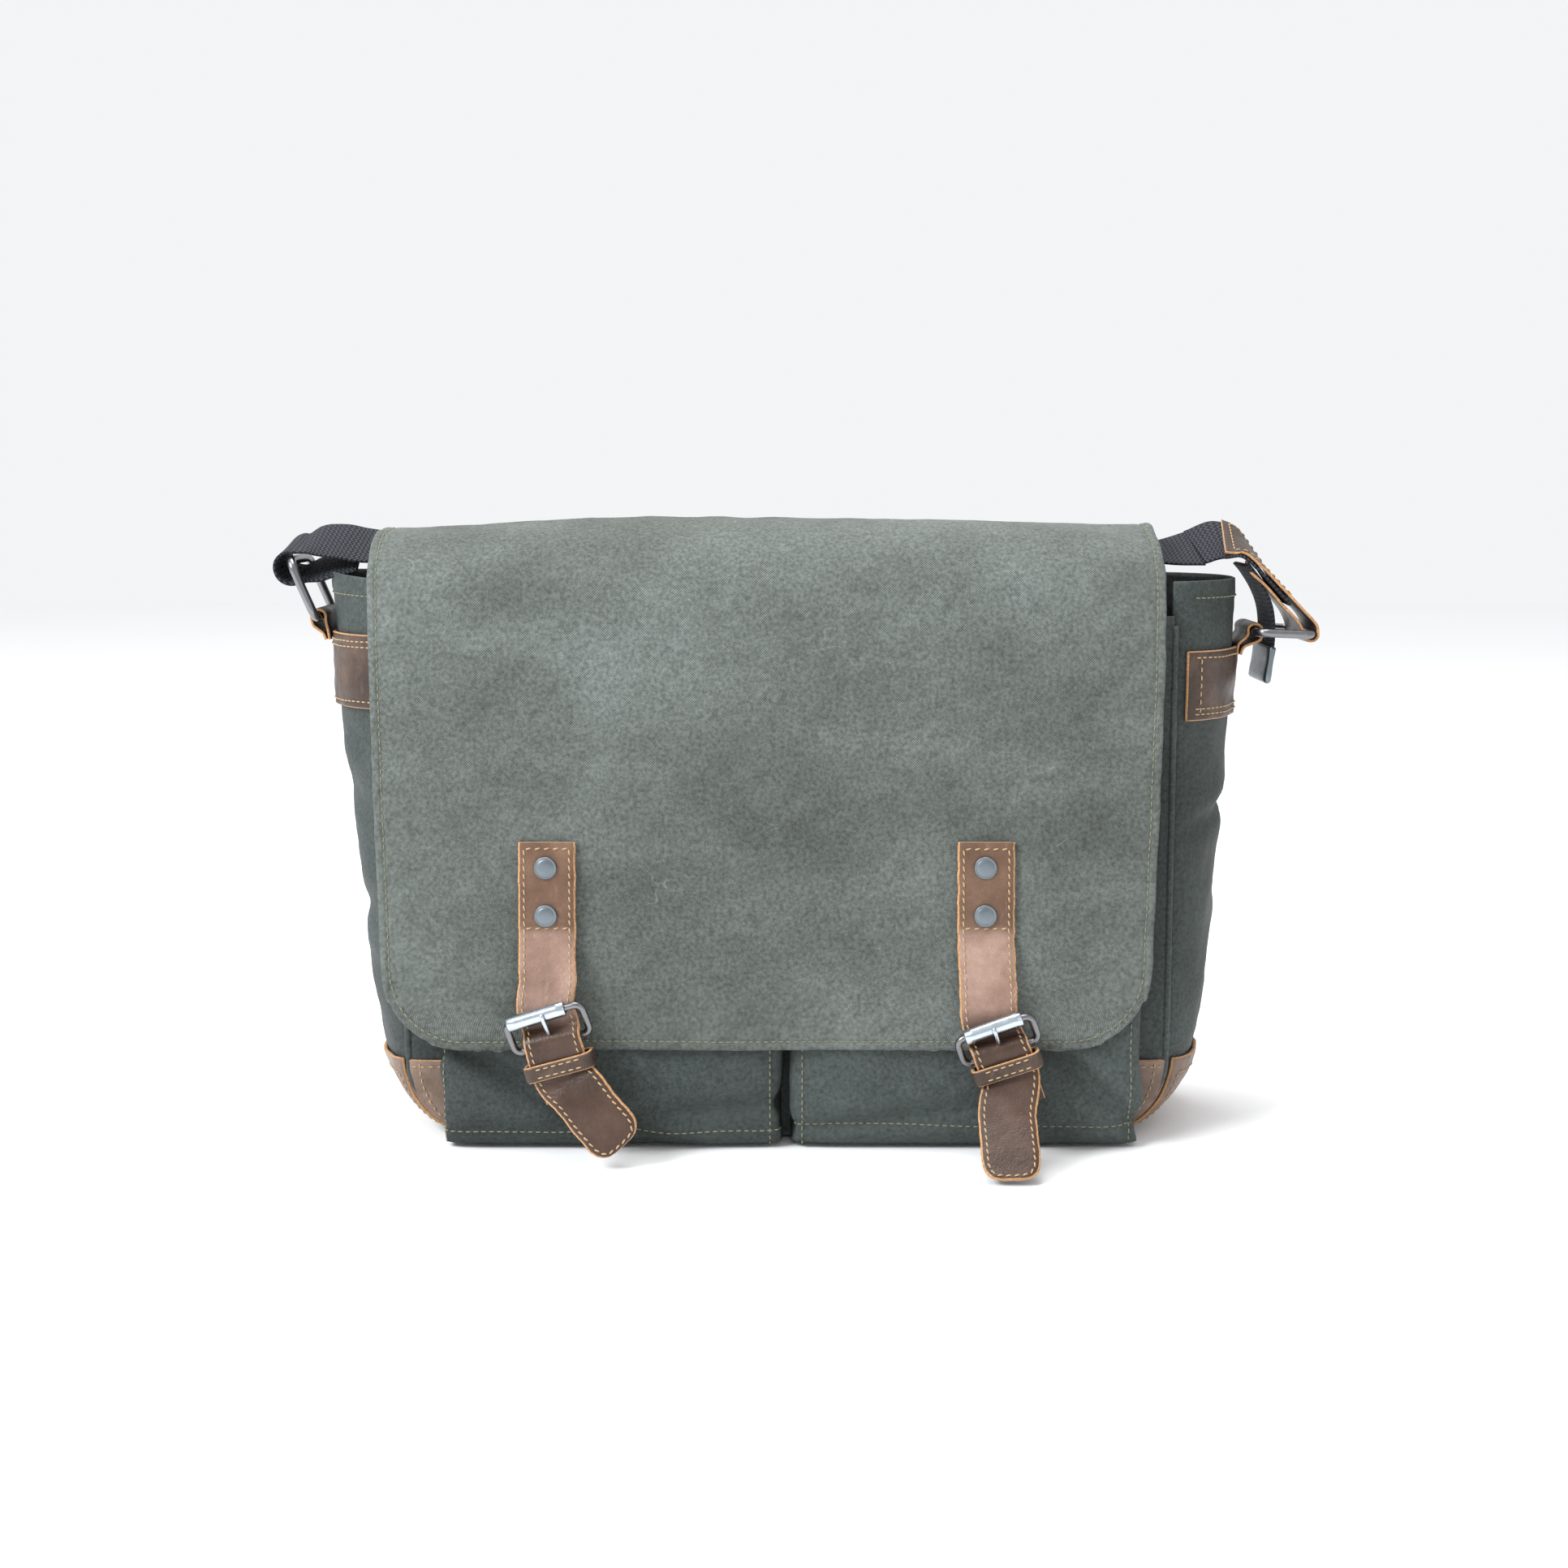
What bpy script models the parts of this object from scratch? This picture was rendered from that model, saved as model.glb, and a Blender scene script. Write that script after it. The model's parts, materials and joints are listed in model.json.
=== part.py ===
"""Waxed canvas messenger bag with leather closure straps. Metres, +Z up, -Y is the front, base on Z = 0."""
import bpy
import bmesh
import math
from mathutils import Matrix, Vector

for o in list(bpy.data.objects):
    bpy.data.objects.remove(o, do_unlink=True)

# Clearance between touching pieces, and the body.
GAP = 0.0003
HALF_DEPTH = 0.0485
SEAM_X = 0.170
CORNER_R = 0.034
BASE_Z = 0.0025
BACK_TOP = 0.262
FRONT_TOP = 0.236
CANVAS_T = 0.0018
PLY_T = 0.0014

# Flap.
FLAP_T = 0.0020
FLAP_CX = -0.009
FLAP_TOP_HALF = 0.1755
FLAP_LOW_HALF = 0.1680
FLAP_LOW = 0.047
FLAP_CORNER_R = 0.036
FLAP_TAPER = 0.0072 / 0.21
FLAP_HINGE = (0.0, 0.0525, 0.2695)
CREASE = (0.0, -0.0452, 0.2608)

# Closure straps.
LEATHER_T = 0.0025
STRAP_W = 0.025
BASE_HIGH = 0.1390
BASE_LOW = 0.0991
LIFT_Y = -0.0716
LIFT_Z = 0.0975
RIVET_ZS = {"upper": 0.1280, "lower": 0.1070}
RIVET_OFF = 0.0005
RIVET_GAP = 0.0008
RIVET_PROFILE = ((0.0, 0.0050), (0.0009, 0.0050), (0.0014, 0.0042), (0.0019, 0.0022))
TAB_W = 0.0222
TAB_SLOT = (0.0060, 0.0130, 0.0300)
TAB_FOLD_R = 0.0028
PRONG_HOLE = (0.0085, 0.0125, 0.0200)
TIP_ROUNDING = ((0.0025, 0.0243), (0.0050, 0.0222), (0.0068, 0.0188), (0.0080, 0.0140))

# Buckles.
BAR_R = 0.0017
FRAME_HALF = 0.0170
FRAME_CORNER_R = 0.0022
ROLLER_R = 0.0032
ROLLER_BORE_R = 0.00195
ROLLER_HALF = 0.0122
STRAP_BEHIND_ROLLER = 0.0063
EYE_R = 0.0031
EYE_BORE_R = 0.0020
PRONG_HALF = 0.0012
KEEPER_HALF = 0.0148
KEEPER_BACK = -0.0046
KEEPER_FRONT = 0.0078
KEEPER_CORNER_R = 0.0018
KEEPER_HALF_W = 0.0030
KEEPER_HALF_T = 0.0008

# Carrying rings and webbing.
RING_R = 0.0020
RING_HALF = 0.0215
RING_CORNER_R = 0.0045
BAR_X = 0.2128
LEFT_BAR_Z = 0.2335
RIGHT_BAR_Z = 0.2270
TAB_INNER_X = 0.2083
TAB_OUTER_X = 0.2103
RING_TAB_W = 0.030
WEB_W = 0.038
WEB_T = 0.0016
CHAPE_W = 0.036
TAIL_W = 0.0340


def material(name, rgb, rough, metal=0.0):
    m = bpy.data.materials.new(name)
    m.use_nodes = True
    b = m.node_tree.nodes["Principled BSDF"]
    b.inputs["Base Color"].default_value = (*rgb, 1)
    b.inputs["Roughness"].default_value = rough
    b.inputs["Metallic"].default_value = metal
    return m


CANVAS = ((0.16, 0.19, 0.18), 0.75)
LEATHER = ((0.13, 0.075, 0.05), 0.5)
WEBBING = ((0.035, 0.037, 0.045), 0.85)
METAL = ((0.55, 0.58, 0.62), 0.3, 1.0)
LINING = ((0.12, 0.12, 0.11), 0.9)


def solid(name, verts, faces, look):
    mesh = bpy.data.meshes.new(name)
    mesh.from_pydata([tuple(v) for v in verts], [], faces)
    mesh.update()
    bm = bmesh.new()
    bm.from_mesh(mesh)
    bmesh.ops.recalc_face_normals(bm, faces=bm.faces)
    if bm.calc_volume(signed=True) < 0:
        bmesh.ops.reverse_faces(bm, faces=bm.faces)
    bm.to_mesh(mesh)
    bm.free()
    mesh.materials.append(material(name, *look))
    ob = bpy.data.objects.new(name, mesh)
    bpy.context.scene.collection.objects.link(ob)
    return ob


def loft(name, rings, look, loop=False):
    """One closed skin through rings of equal count, capped at both ends unless it closes on itself."""
    n = len(rings[0])
    verts = [Vector(p) for r in rings for p in r]
    faces = []
    count = len(rings)
    for i in range(count if loop else count - 1):
        j = (i + 1) % count
        for k in range(n):
            m = (k + 1) % n
            faces.append((i * n + k, i * n + m, j * n + m, j * n + k))
    if not loop:
        faces.append(tuple(range(n)))
        faces.append(tuple((count - 1) * n + k for k in range(n)))
    return solid(name, verts, faces, look)


def ribbon(name, path, look, width, thick, wdir, widths=None):
    """A flat strip along path. wdir is one width direction for all, or a list with one for each station."""
    pts = [Vector(p) for p in path]
    rings = []
    for i, p in enumerate(pts):
        a = pts[max(i - 1, 0)]
        b = pts[min(i + 1, len(pts) - 1)]
        t = (b - a).normalized()
        w = Vector(wdir[i] if isinstance(wdir, list) else wdir)
        w = (w - t * w.dot(t)).normalized()
        n = t.cross(w).normalized()
        if 0 < i < len(pts) - 1:
            bend = (p - a).normalized().dot((b - p).normalized())
            grow = 1 / max(math.sqrt((1 + bend) / 2), 0.75)
        else:
            grow = 1.0
        half = (widths[i] if widths else width) / 2
        side, lift = w * half, n * (thick / 2 * grow)
        rings.append([p - side - lift, p + side - lift, p + side + lift, p - side + lift])
    return loft(name, rings, look)


def prism(name, outline, y0, y1, look):
    return loft(name, [[(x, y0, z) for x, z in outline], [(x, y1, z) for x, z in outline]], look)


def cut(ob, centre, axes, size):
    """Takes a box out of ob. size runs along the three axes."""
    corners = [(a, b, c) for a in (-1, 1) for b in (-1, 1) for c in (-1, 1)]
    verts = []
    for corner in corners:
        shift = [ax * (s * d / 2) for ax, s, d in zip(axes, corner, size)]
        verts.append(centre + shift[0] + shift[1] + shift[2])
    faces = [(0, 1, 3, 2), (4, 5, 7, 6), (0, 1, 5, 4), (2, 3, 7, 6), (0, 2, 6, 4), (1, 3, 7, 5)]
    cutter = solid(ob.name + "_cutter", verts, faces, METAL)
    cutter.hide_render = True
    cutter.display_type = "WIRE"
    boolean = ob.modifiers.new("slot", "BOOLEAN")
    boolean.operation = "DIFFERENCE"
    boolean.solver = "EXACT"
    boolean.object = cutter


def tube_ring(name, corners, radius, corner_r, look, normal, sides=10, per=4):
    """A closed wire loop through rounded corners that all lie in one plane."""
    pts = []
    n = len(corners)
    cs = [Vector(c) for c in corners]
    for i in range(n):
        p, a, b = cs[i], cs[i - 1], cs[(i + 1) % n]
        da, db = (a - p).normalized(), (b - p).normalized()
        s, e = p + da * corner_r, p + db * corner_r
        centre = p + (da + db) * corner_r
        for k in range(per + 1):
            t = math.pi / 2 * k / per
            pts.append(centre - db * (corner_r * math.cos(t)) - da * (corner_r * math.sin(t)))
    nrm = Vector(normal).normalized()
    rings = []
    for i, p in enumerate(pts):
        t = (pts[(i + 1) % len(pts)] - pts[i - 1]).normalized()
        side = t.cross(nrm).normalized()
        ring = []
        for k in range(sides):
            turn = 2 * math.pi * k / sides
            ring.append(p + side * (radius * math.cos(turn)) + nrm * (radius * math.sin(turn)))
        rings.append(ring)
    return loft(name, rings, look, loop=True)


def rounded_outline(half, top, r, bottom):
    """Outline of the body seen from the front, round at its two lower corners."""
    pts = [(-half, top)]
    for k in range(7):
        t = math.pi / 2 * k / 6
        pts.append((-half + r - r * math.cos(t), bottom + r - r * math.sin(t)))
    for k in range(7):
        t = math.pi / 2 * (1 - k / 6)
        pts.append((half - r + r * math.cos(t), bottom + r - r * math.sin(t)))
    pts.append((half, top))
    return pts


BACK = rounded_outline(SEAM_X, BACK_TOP, CORNER_R, BASE_Z)
FRONT = rounded_outline(SEAM_X, FRONT_TOP, CORNER_R, BASE_Z)
prism("back_panel", BACK, HALF_DEPTH, HALF_DEPTH + CANVAS_T, CANVAS)
prism("front_panel", FRONT, -HALF_DEPTH - CANVAS_T, -HALF_DEPTH, CANVAS)
base = [(-0.136, 0, 0.001), (0.136, 0, 0.001)]
ribbon("base_panel", base, CANVAS, 2 * HALF_DEPTH - 2 * GAP, 0.002, (0, 1, 0))

# Gussets: each station is (seam x, seam z, middle x, middle z).
STATIONS = [
    (0.1700, 0.2480, 0.2045, 0.2550),
    (0.1700, 0.2270, 0.2042, 0.2270),
    (0.1700, 0.1900, 0.2035, 0.1900),
    (0.1700, 0.1550, 0.2015, 0.1550),
    (0.1700, 0.1150, 0.1985, 0.1150),
    (0.1700, 0.0700, 0.1955, 0.0700),
    (0.1700, 0.0420, 0.1920, 0.0400),
    (0.1690, 0.0300, 0.1880, 0.0280),
    (0.1650, 0.0180, 0.1800, 0.0160),
    (0.1570, 0.0090, 0.1690, 0.0070),
    (0.1470, 0.0050, 0.1540, 0.0034),
    (0.1375, 0.0042, 0.1385, 0.0024),
]
ACROSS = 8
EDGE_Y = HALF_DEPTH - GAP


def gusset_grid(stations, sign, trim):
    rows = []
    for sx, sz, mx, mz in stations:
        row = []
        for k in range(ACROSS + 1):
            u = 2 * k / ACROSS - 1
            b = (1 - u * u) ** 0.62 if abs(u) < 1 else 0.0
            row.append(Vector((sign * (sx + (mx - sx) * b), u * (EDGE_Y - 0.0020), sz + (mz - sz) * b)))
        rows.append(row)
    normals = []
    for i, row in enumerate(rows):
        up, low = rows[max(i - 1, 0)], rows[min(i + 1, len(rows) - 1)]
        line = []
        for k in range(ACROSS + 1):
            across = row[min(k + 1, ACROSS)] - row[max(k - 1, 0)]
            n = across.cross(low[k] - up[k]).normalized()
            line.append(n if n.dot(Vector((sign, 0, -0.8))) > 0 else -n)
        normals.append(line)
    if trim:
        for row, line in zip(rows, normals):
            row[0] = row[1].lerp(row[0], trim)
            row[-1] = row[-2].lerp(row[-1], trim)
    return rows, normals


def gusset_rings(stations, out0, out1, sign, trim=0.0):
    """A shell that follows the gusset between two offsets from its outer face."""
    rows, normals = gusset_grid(stations, sign, trim)
    rings = []
    for row, line in zip(rows, normals):
        outer = [p + n * out1 for p, n in zip(row, line)]
        inner = [p + n * out0 for p, n in zip(row, line)]
        rings.append(outer + inner[::-1])
    return rings


def between(stations, z_top, z_low):
    """Stations of a band between two heights on the straight side."""
    out = []
    for z in (z_top, (2 * z_top + z_low) / 3, (z_top + 2 * z_low) / 3, z_low):
        for a, b in zip(stations, stations[1:]):
            if a[1] >= z >= b[1]:
                t = (a[1] - z) / (a[1] - b[1])
                out.append((a[0], z, a[2] + (b[2] - a[2]) * t, z))
                break
    return out


for side, sign in (("left", -1), ("right", 1)):
    loft("gusset_" + side, gusset_rings(STATIONS, -CANVAS_T, 0.0, sign), CANVAS)
    top, low = (0.227, 0.195) if side == "left" else (0.220, 0.190)
    loft("side_band_" + side, gusset_rings(between(STATIONS, top, low), 0.0006, 0.0021, sign, 0.80), LEATHER)
    patch = [(0.1696, 0.0360, 0.1903, 0.0340)] + [s for s in STATIONS if s[1] < 0.036][:-1]
    loft("corner_patch_" + side, gusset_rings(patch, 0.0008, 0.0023, sign, 0.80), LEATHER)


def basin(name, x0, x1):
    """An open-topped pouch sewn to the front panel."""
    wall = PLY_T
    y_back = FRONT_FACE
    outer, inner = [], []
    for z, yf in POCKET:
        outer.append([(x0, yf, z), (x1, yf, z), (x1, y_back, z), (x0, y_back, z)])
        low_x, high_x, low_y, high_y = x0 + wall, x1 - wall, yf + wall, y_back - wall
        inner.append([(low_x, low_y, z), (high_x, low_y, z), (high_x, high_y, z), (low_x, high_y, z)])
    inner[0] = [(x, y, POCKET[0][0] + wall) for x, y, _ in inner[0]]
    return loft(name, outer + inner[::-1], CANVAS)


def rectangle(x, y, z):
    return [(-x, -y, z), (x, -y, z), (x, y, z), (-x, y, z)]


# Lining: each station is (half width, half depth, z), tapering in over the curved gusset corners.
LINE_Y = HALF_DEPTH - 0.0006
LINING_T = 0.0008
LINING_FLOOR = 0.0070
LINING_STATIONS = [
    (0.1340, LINE_Y - 0.0030, 0.0062),
    (0.1450, LINE_Y - 0.0005, 0.0120),
    (0.1530, LINE_Y, 0.0220),
    (0.1600, LINE_Y, 0.0380),
    (0.1620, LINE_Y, 0.2340),
]
outer = [rectangle(x, y, z) for x, y, z in LINING_STATIONS]
inner = [rectangle(x - LINING_T, y - LINING_T, max(z, LINING_FLOOR)) for x, y, z in LINING_STATIONS]
loft("lining", outer + inner[::-1], LINING)

# Front pockets: (z, front y) from the bottom up.
POCKET = [
    (0.0030, -0.0650),
    (0.0130, -0.0692),
    (0.0470, -0.0698),
    (0.0750, -0.0684),
    (0.1000, -0.0664),
    (0.1400, -0.0626),
    (0.1700, -0.0596),
]
FRONT_FACE = -HALF_DEPTH - CANVAS_T - GAP
basin("front_pocket_left", -0.1570, -0.0025)
basin("front_pocket_right", 0.0015, 0.1570)

# Flap: profile of its outer face from the sewn back edge to the bottom edge.
TOP_PROFILE = [
    (0.0525, 0.2695),
    (0.0400, 0.2740),
    (0.0200, 0.2772),
    (0.0000, 0.2780),
    (-0.0200, 0.2755),
    (-0.0340, 0.2705),
    (-0.0435, 0.2630),
]
FRONT_PROFILE = [
    (-0.0468, 0.2588),
    (-0.0520, 0.2450),
    (-0.0575, 0.2150),
    (-0.0618, 0.1850),
    (-0.0655, 0.1500),
    (-0.0682, 0.1180),
    (-0.0705, 0.0835),
    (-0.0718, 0.0710),
    (-0.0724, 0.0620),
    (-0.0728, 0.0550),
    (-0.0731, 0.0500),
    (-0.0733, 0.0470),
]
FLAP_ACROSS = 6


def flap_half(z):
    """Half width of the hanging flap at height z, with round lower corners."""
    w = FLAP_LOW_HALF + (z - FLAP_LOW) * FLAP_TAPER
    below = FLAP_LOW + FLAP_CORNER_R - z
    if below > 0:
        w += math.sqrt(max(0.0, FLAP_CORNER_R**2 - below**2)) - FLAP_CORNER_R + 0.0001
    return w


def flap_rings(profile, half_at):
    rings = []
    for i, (y, z) in enumerate(profile):
        a, b = profile[max(i - 1, 0)], profile[min(i + 1, len(profile) - 1)]
        d = Vector((0, b[0] - a[0], b[1] - a[1])).normalized()
        nrm = Vector((0, d.z, -d.y))
        if nrm.dot(Vector((0, -1, 1))) < 0:
            nrm = -nrm
        half = half_at(z)
        outer = [Vector((FLAP_CX + half * (2 * k / FLAP_ACROSS - 1), y, z)) for k in range(FLAP_ACROSS + 1)]
        inner = [p - nrm * FLAP_T for p in outer]
        rings.append(outer + inner[::-1])
    return rings


loft("flap_top", flap_rings(TOP_PROFILE, lambda z: FLAP_TOP_HALF), CANVAS)
loft("flap_front", flap_rings(FRONT_PROFILE, flap_half), CANVAS)


def origin_at(name, point):
    """Puts a moving piece's origin on its joint's axis without moving its shape."""
    ob = bpy.data.objects[name]
    ob.data.transform(Matrix.Translation(-Vector(point)))
    ob.location = point


def buckle_axes(origin, tilt):
    """The roller's centre, then the buckle's own axes: along the bars, towards the heel bar, and outwards."""
    a = math.radians(tilt)
    u = Vector((math.cos(a), 0, math.sin(a)))
    v = Vector((math.sin(a) * 0.957, 0.29, -math.cos(a) * 0.957)).normalized()
    n = v.cross(u).normalized()
    return Vector(origin), u, v, n


def circle(steps, radius):
    angles = [2 * math.pi * i / steps for i in range(steps)]
    return [(radius * math.cos(t), radius * math.sin(t)) for t in angles]


def flap_face(z):
    """Front y of the hanging flap between the stations that the strap bases are sewn over."""
    for (y0, z0), (y1, z1) in zip(FRONT_PROFILE, FRONT_PROFILE[1:]):
        if z0 >= z >= z1:
            return y0 + (y1 - y0) * (z0 - z) / (z0 - z1)
    return y1


def strap_base(side, xc):
    off = GAP + LEATHER_T / 2
    path = [(xc, flap_face(z) - off, z) for z in (BASE_HIGH, 0.118, BASE_LOW)]
    ribbon("strap_base_" + side, path, LEATHER, STRAP_W, LEATHER_T, (1, 0, 0))
    for place, z in RIVET_ZS.items():
        y = flap_face(z) - GAP - LEATHER_T - RIVET_GAP
        rings = []
        for rise, r in RIVET_PROFILE:
            rings.append([(xc - RIVET_OFF + x, y - rise, z + h) for x, h in circle(14, r)])
        loft("rivet_%s_%s" % (side, place), rings, METAL)


def roller(side, centre, u, v, n):
    """A tube that turns on the buckle's upper bar."""
    rings = []
    for end, r in ((-1, ROLLER_R), (1, ROLLER_R), (1, ROLLER_BORE_R), (-1, ROLLER_BORE_R)):
        c = centre + u * (end * ROLLER_HALF)
        rings.append([c + v * x + n * y for x, y in circle(16, r)])
    loft("buckle_roller_" + side, rings, METAL, loop=True)


def prong(side, heel, u, v, n, depth):
    """An eye on the heel bar with one arm that ends over the roller."""
    steps = 16

    def at(p, w):
        return heel - v * p[0] + n * p[1] + u * w

    verts, faces = [], []
    for w in (-PRONG_HALF, PRONG_HALF):
        verts += [at(p, w) for p in circle(steps, EYE_R) + circle(steps, EYE_BORE_R)]
    # The arm grows out of one outer face of the eye, so that face gives way to it.
    arm_face = 2
    back = 2 * steps
    for i in range(steps):
        j = (i + 1) % steps
        faces.append((i, j, steps + j, steps + i))
        faces.append((back + i, back + steps + i, back + steps + j, back + j))
        faces.append((steps + i, steps + j, back + steps + j, back + steps + i))
        if i != arm_face:
            faces.append((i, back + i, back + j, j))
    ends = [(arm_face, arm_face + 1, back + arm_face + 1, back + arm_face)]
    # Along the arm: reach from the heel bar, then the heights of its outer and inner faces.
    arm = ((0.0060, 0.0052, 0.0036), (depth - 0.0010, 0.0058, 0.0039), (depth + 0.0018, 0.0052, 0.0037))
    for x, high, low in arm:
        first = len(verts)
        verts += [at((x, low), -PRONG_HALF), at((x, high), -PRONG_HALF)]
        verts += [at((x, high), PRONG_HALF), at((x, low), PRONG_HALF)]
        ends.append((first, first + 1, first + 2, first + 3))
    for p, q in zip(ends, ends[1:]):
        for k in range(4):
            m = (k + 1) % 4
            faces.append((p[k], p[m], q[m], q[k]))
    faces.append(ends[-1])
    solid("buckle_prong_" + side, verts, faces, METAL)


def buckle_tab(side, heel, u, down, out):
    """One ply folded round the heel bar, both legs running down behind the strap."""
    legs = ((0.0250, 0.0011), (0.0160, 0.0011), (0.0090, 0.0012), (0.0040, 0.0023))
    path = [heel + down * reach + out * rise for reach, rise in legs]
    for k in range(7):
        t = math.pi * k / 6
        path.append(heel + out * (TAB_FOLD_R * math.cos(t)) - down * (TAB_FOLD_R * math.sin(t)))
    path += [heel + down * reach - out * rise for reach, rise in legs[::-1]]
    tab = ribbon("buckle_tab_" + side, path, LEATHER, TAB_W, PLY_T, u)
    # The fold has a slot that the prong's eye sits in.
    cut(tab, heel - down * 0.0002, (u, down, out), TAB_SLOT)


def keeper(side, centre, u, down, out):
    """A closed loop round the tab and the strap."""
    r = KEEPER_CORNER_R
    corners = []
    for x, w, start in (
        (-KEEPER_HALF + r, KEEPER_BACK + r, math.pi),
        (KEEPER_HALF - r, KEEPER_BACK + r, 1.5 * math.pi),
        (KEEPER_HALF - r, KEEPER_FRONT - r, 0.0),
        (-KEEPER_HALF + r, KEEPER_FRONT - r, 0.5 * math.pi),
    ):
        for k in range(4):
            t = start + math.pi / 2 * k / 3
            corners.append((x, w, math.cos(t), math.sin(t)))
    rings = []
    for x, w, dx, dw in corners:
        ring = []
        for s, e in ((-1, -1), (1, -1), (1, 1), (-1, 1)):
            reach = r + e * KEEPER_HALF_T
            ring.append(centre + u * (x + dx * reach) + out * (w + dw * reach) + down * (s * KEEPER_HALF_W))
        rings.append(ring)
    loft("strap_keeper_" + side, rings, LEATHER, loop=True)


def closure(side, xc, origin, tilt, slide, depth, keep, upper, lower, shift, turn):
    """A strap sewn and riveted to the flap, and the buckle, tab and keeper that it is fastened to.

    upper and lower are the strap's own points above the roller and below the keeper, each with the angle its
    width is turned by. slide and shift are the roller's and the strap's offsets along the bars, and turn is
    the strap's angle in the keeper.
    """
    strap_base(side, xc)
    o, u, v, n = buckle_axes(origin, tilt)
    heel = o + v * depth
    a = math.radians(tilt)
    down = Vector((math.sin(a), -0.06, -math.cos(a))).normalized()
    down = (down - u * down.dot(u)).normalized()
    out = down.cross(u).normalized()

    corners = [o - u * FRAME_HALF, o + u * FRAME_HALF, heel + u * FRAME_HALF, heel - u * FRAME_HALF]
    tube_ring("buckle_frame_" + side, corners, BAR_R, FRAME_CORNER_R, METAL, n, sides=8, per=3)
    roller(side, o + u * slide, u, v, n)
    prong(side, heel, u, v, n, depth)
    buckle_tab(side, heel, u, down, out)
    keeper(side, heel + down * keep, u, down, out)

    # The strap passes behind the roller, then out over the heel bar and down through the keeper.
    route = [((xc, LIFT_Y, LIFT_Z - 0.0005), 0.0)] + upper
    route.append((o - n * STRAP_BEHIND_ROLLER + u * shift, tilt * 0.55))
    route.append((o + v * (depth * 0.53) - n * 0.0022 + u * shift, tilt * 0.65))
    route.append((heel - down * 0.0030 + out * 0.0052 + u * (shift * 0.6), tilt * 0.8))
    route.append((heel + down * 0.0005 + out * 0.0056 + u * (shift * 0.3), tilt * 0.95))
    route.append((heel + down * (keep - 0.0030) + out * 0.0050, turn))
    route.append((heel + down * (keep + 0.0045) + out * 0.0044, turn))
    route += lower
    path = [Vector(p) for p, _ in route]
    across = [(math.cos(math.radians(angle)), 0, math.sin(math.radians(angle))) for _, angle in route]
    widths = [STRAP_W] * len(path)
    tip = path[-1]
    along = (tip - path[-2]).normalized()
    for reach, width in TIP_ROUNDING:
        path.append(tip + along * reach)
        across.append(across[-1])
        widths.append(width)
    strap = ribbon("strap_free_" + side, path, LEATHER, STRAP_W, LEATHER_T, across, widths)
    # The prong's hole, long enough for the prong to lift in it.
    cut(strap, heel - v * 0.0065 + n * 0.0040, (u, v, n), PRONG_HOLE)

    origin_at("strap_free_" + side, (xc, LIFT_Y, LIFT_Z))
    origin_at("buckle_roller_" + side, o)
    origin_at("buckle_frame_" + side, heel)
    origin_at("buckle_prong_" + side, heel)


closure(
    "left",
    xc=-0.1050,
    origin=(-0.1060, -0.0855, 0.0660),
    tilt=17,
    slide=-0.0030,
    depth=0.0150,
    keep=0.0100,
    upper=[((-0.1050, -0.0738, 0.0890), 1), ((-0.1046, -0.0772, 0.0780), 5)],
    lower=[
        ((-0.0912, -0.0892, 0.0330), 28),
        ((-0.0832, -0.0925, 0.0235), 31),
        ((-0.0765, -0.0950, 0.0165), 33),
    ],
    shift=0.0010,
    turn=24,
)
closure(
    "right",
    xc=0.0870,
    origin=(0.0895, -0.0855, 0.0600),
    tilt=20,
    slide=0.0,
    depth=0.0130,
    keep=0.0065,
    upper=[((0.0873, -0.0738, 0.0890), 2), ((0.0878, -0.0768, 0.0760), 6)],
    lower=[
        ((0.0950, -0.0960, 0.0250), 7),
        ((0.0952, -0.1060, 0.0150), 4),
        ((0.0953, -0.1130, 0.0085), 3),
    ],
    shift=-0.0005,
    turn=14,
)


def ring_tab(side, sign, bar_z, low_z):
    """One ply folded over the ring's lower bar, both legs on the gusset's outer face."""
    r = RING_R + GAP + 0.0008
    path = [(TAB_INNER_X, low_z), (TAB_INNER_X, bar_z - 0.0080), (BAR_X - r * 0.94, bar_z - 0.0015)]
    for k in range(1, 7):
        t = math.pi * (1 - k / 6)
        path.append((BAR_X + r * math.cos(t), bar_z + r * math.sin(t)))
    path += [(BAR_X + r * 0.80, bar_z - 0.0040), (TAB_OUTER_X + 0.0005, bar_z - 0.0110), (TAB_OUTER_X, low_z)]
    points = across_bag((sign * x, z) for x, z in path)
    ribbon("ring_tab_" + side, points, LEATHER, RING_TAB_W, PLY_T, (0, 1, 0))


def across_bag(points):
    """Points in the bag's middle plane, from (x, z)."""
    return [Vector((x, 0, z)) for x, z in points]


def fold_round(centre, r, start, stop, steps):
    """Points (x, z) of a fold of radius r round centre, between two angles in degrees."""
    angles = [math.radians(start + (stop - start) * k / steps) for k in range(steps + 1)]
    return [(centre.x + r * math.cos(t), centre.z + r * math.sin(t)) for t in angles]


def webbing(name, points):
    ribbon(name, across_bag(points), WEBBING, WEB_W, WEB_T, (0, 1, 0))


ring_tab("left", -1, LEFT_BAR_Z, 0.2030)
ring_tab("right", 1, RIGHT_BAR_Z, 0.1980)

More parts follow.
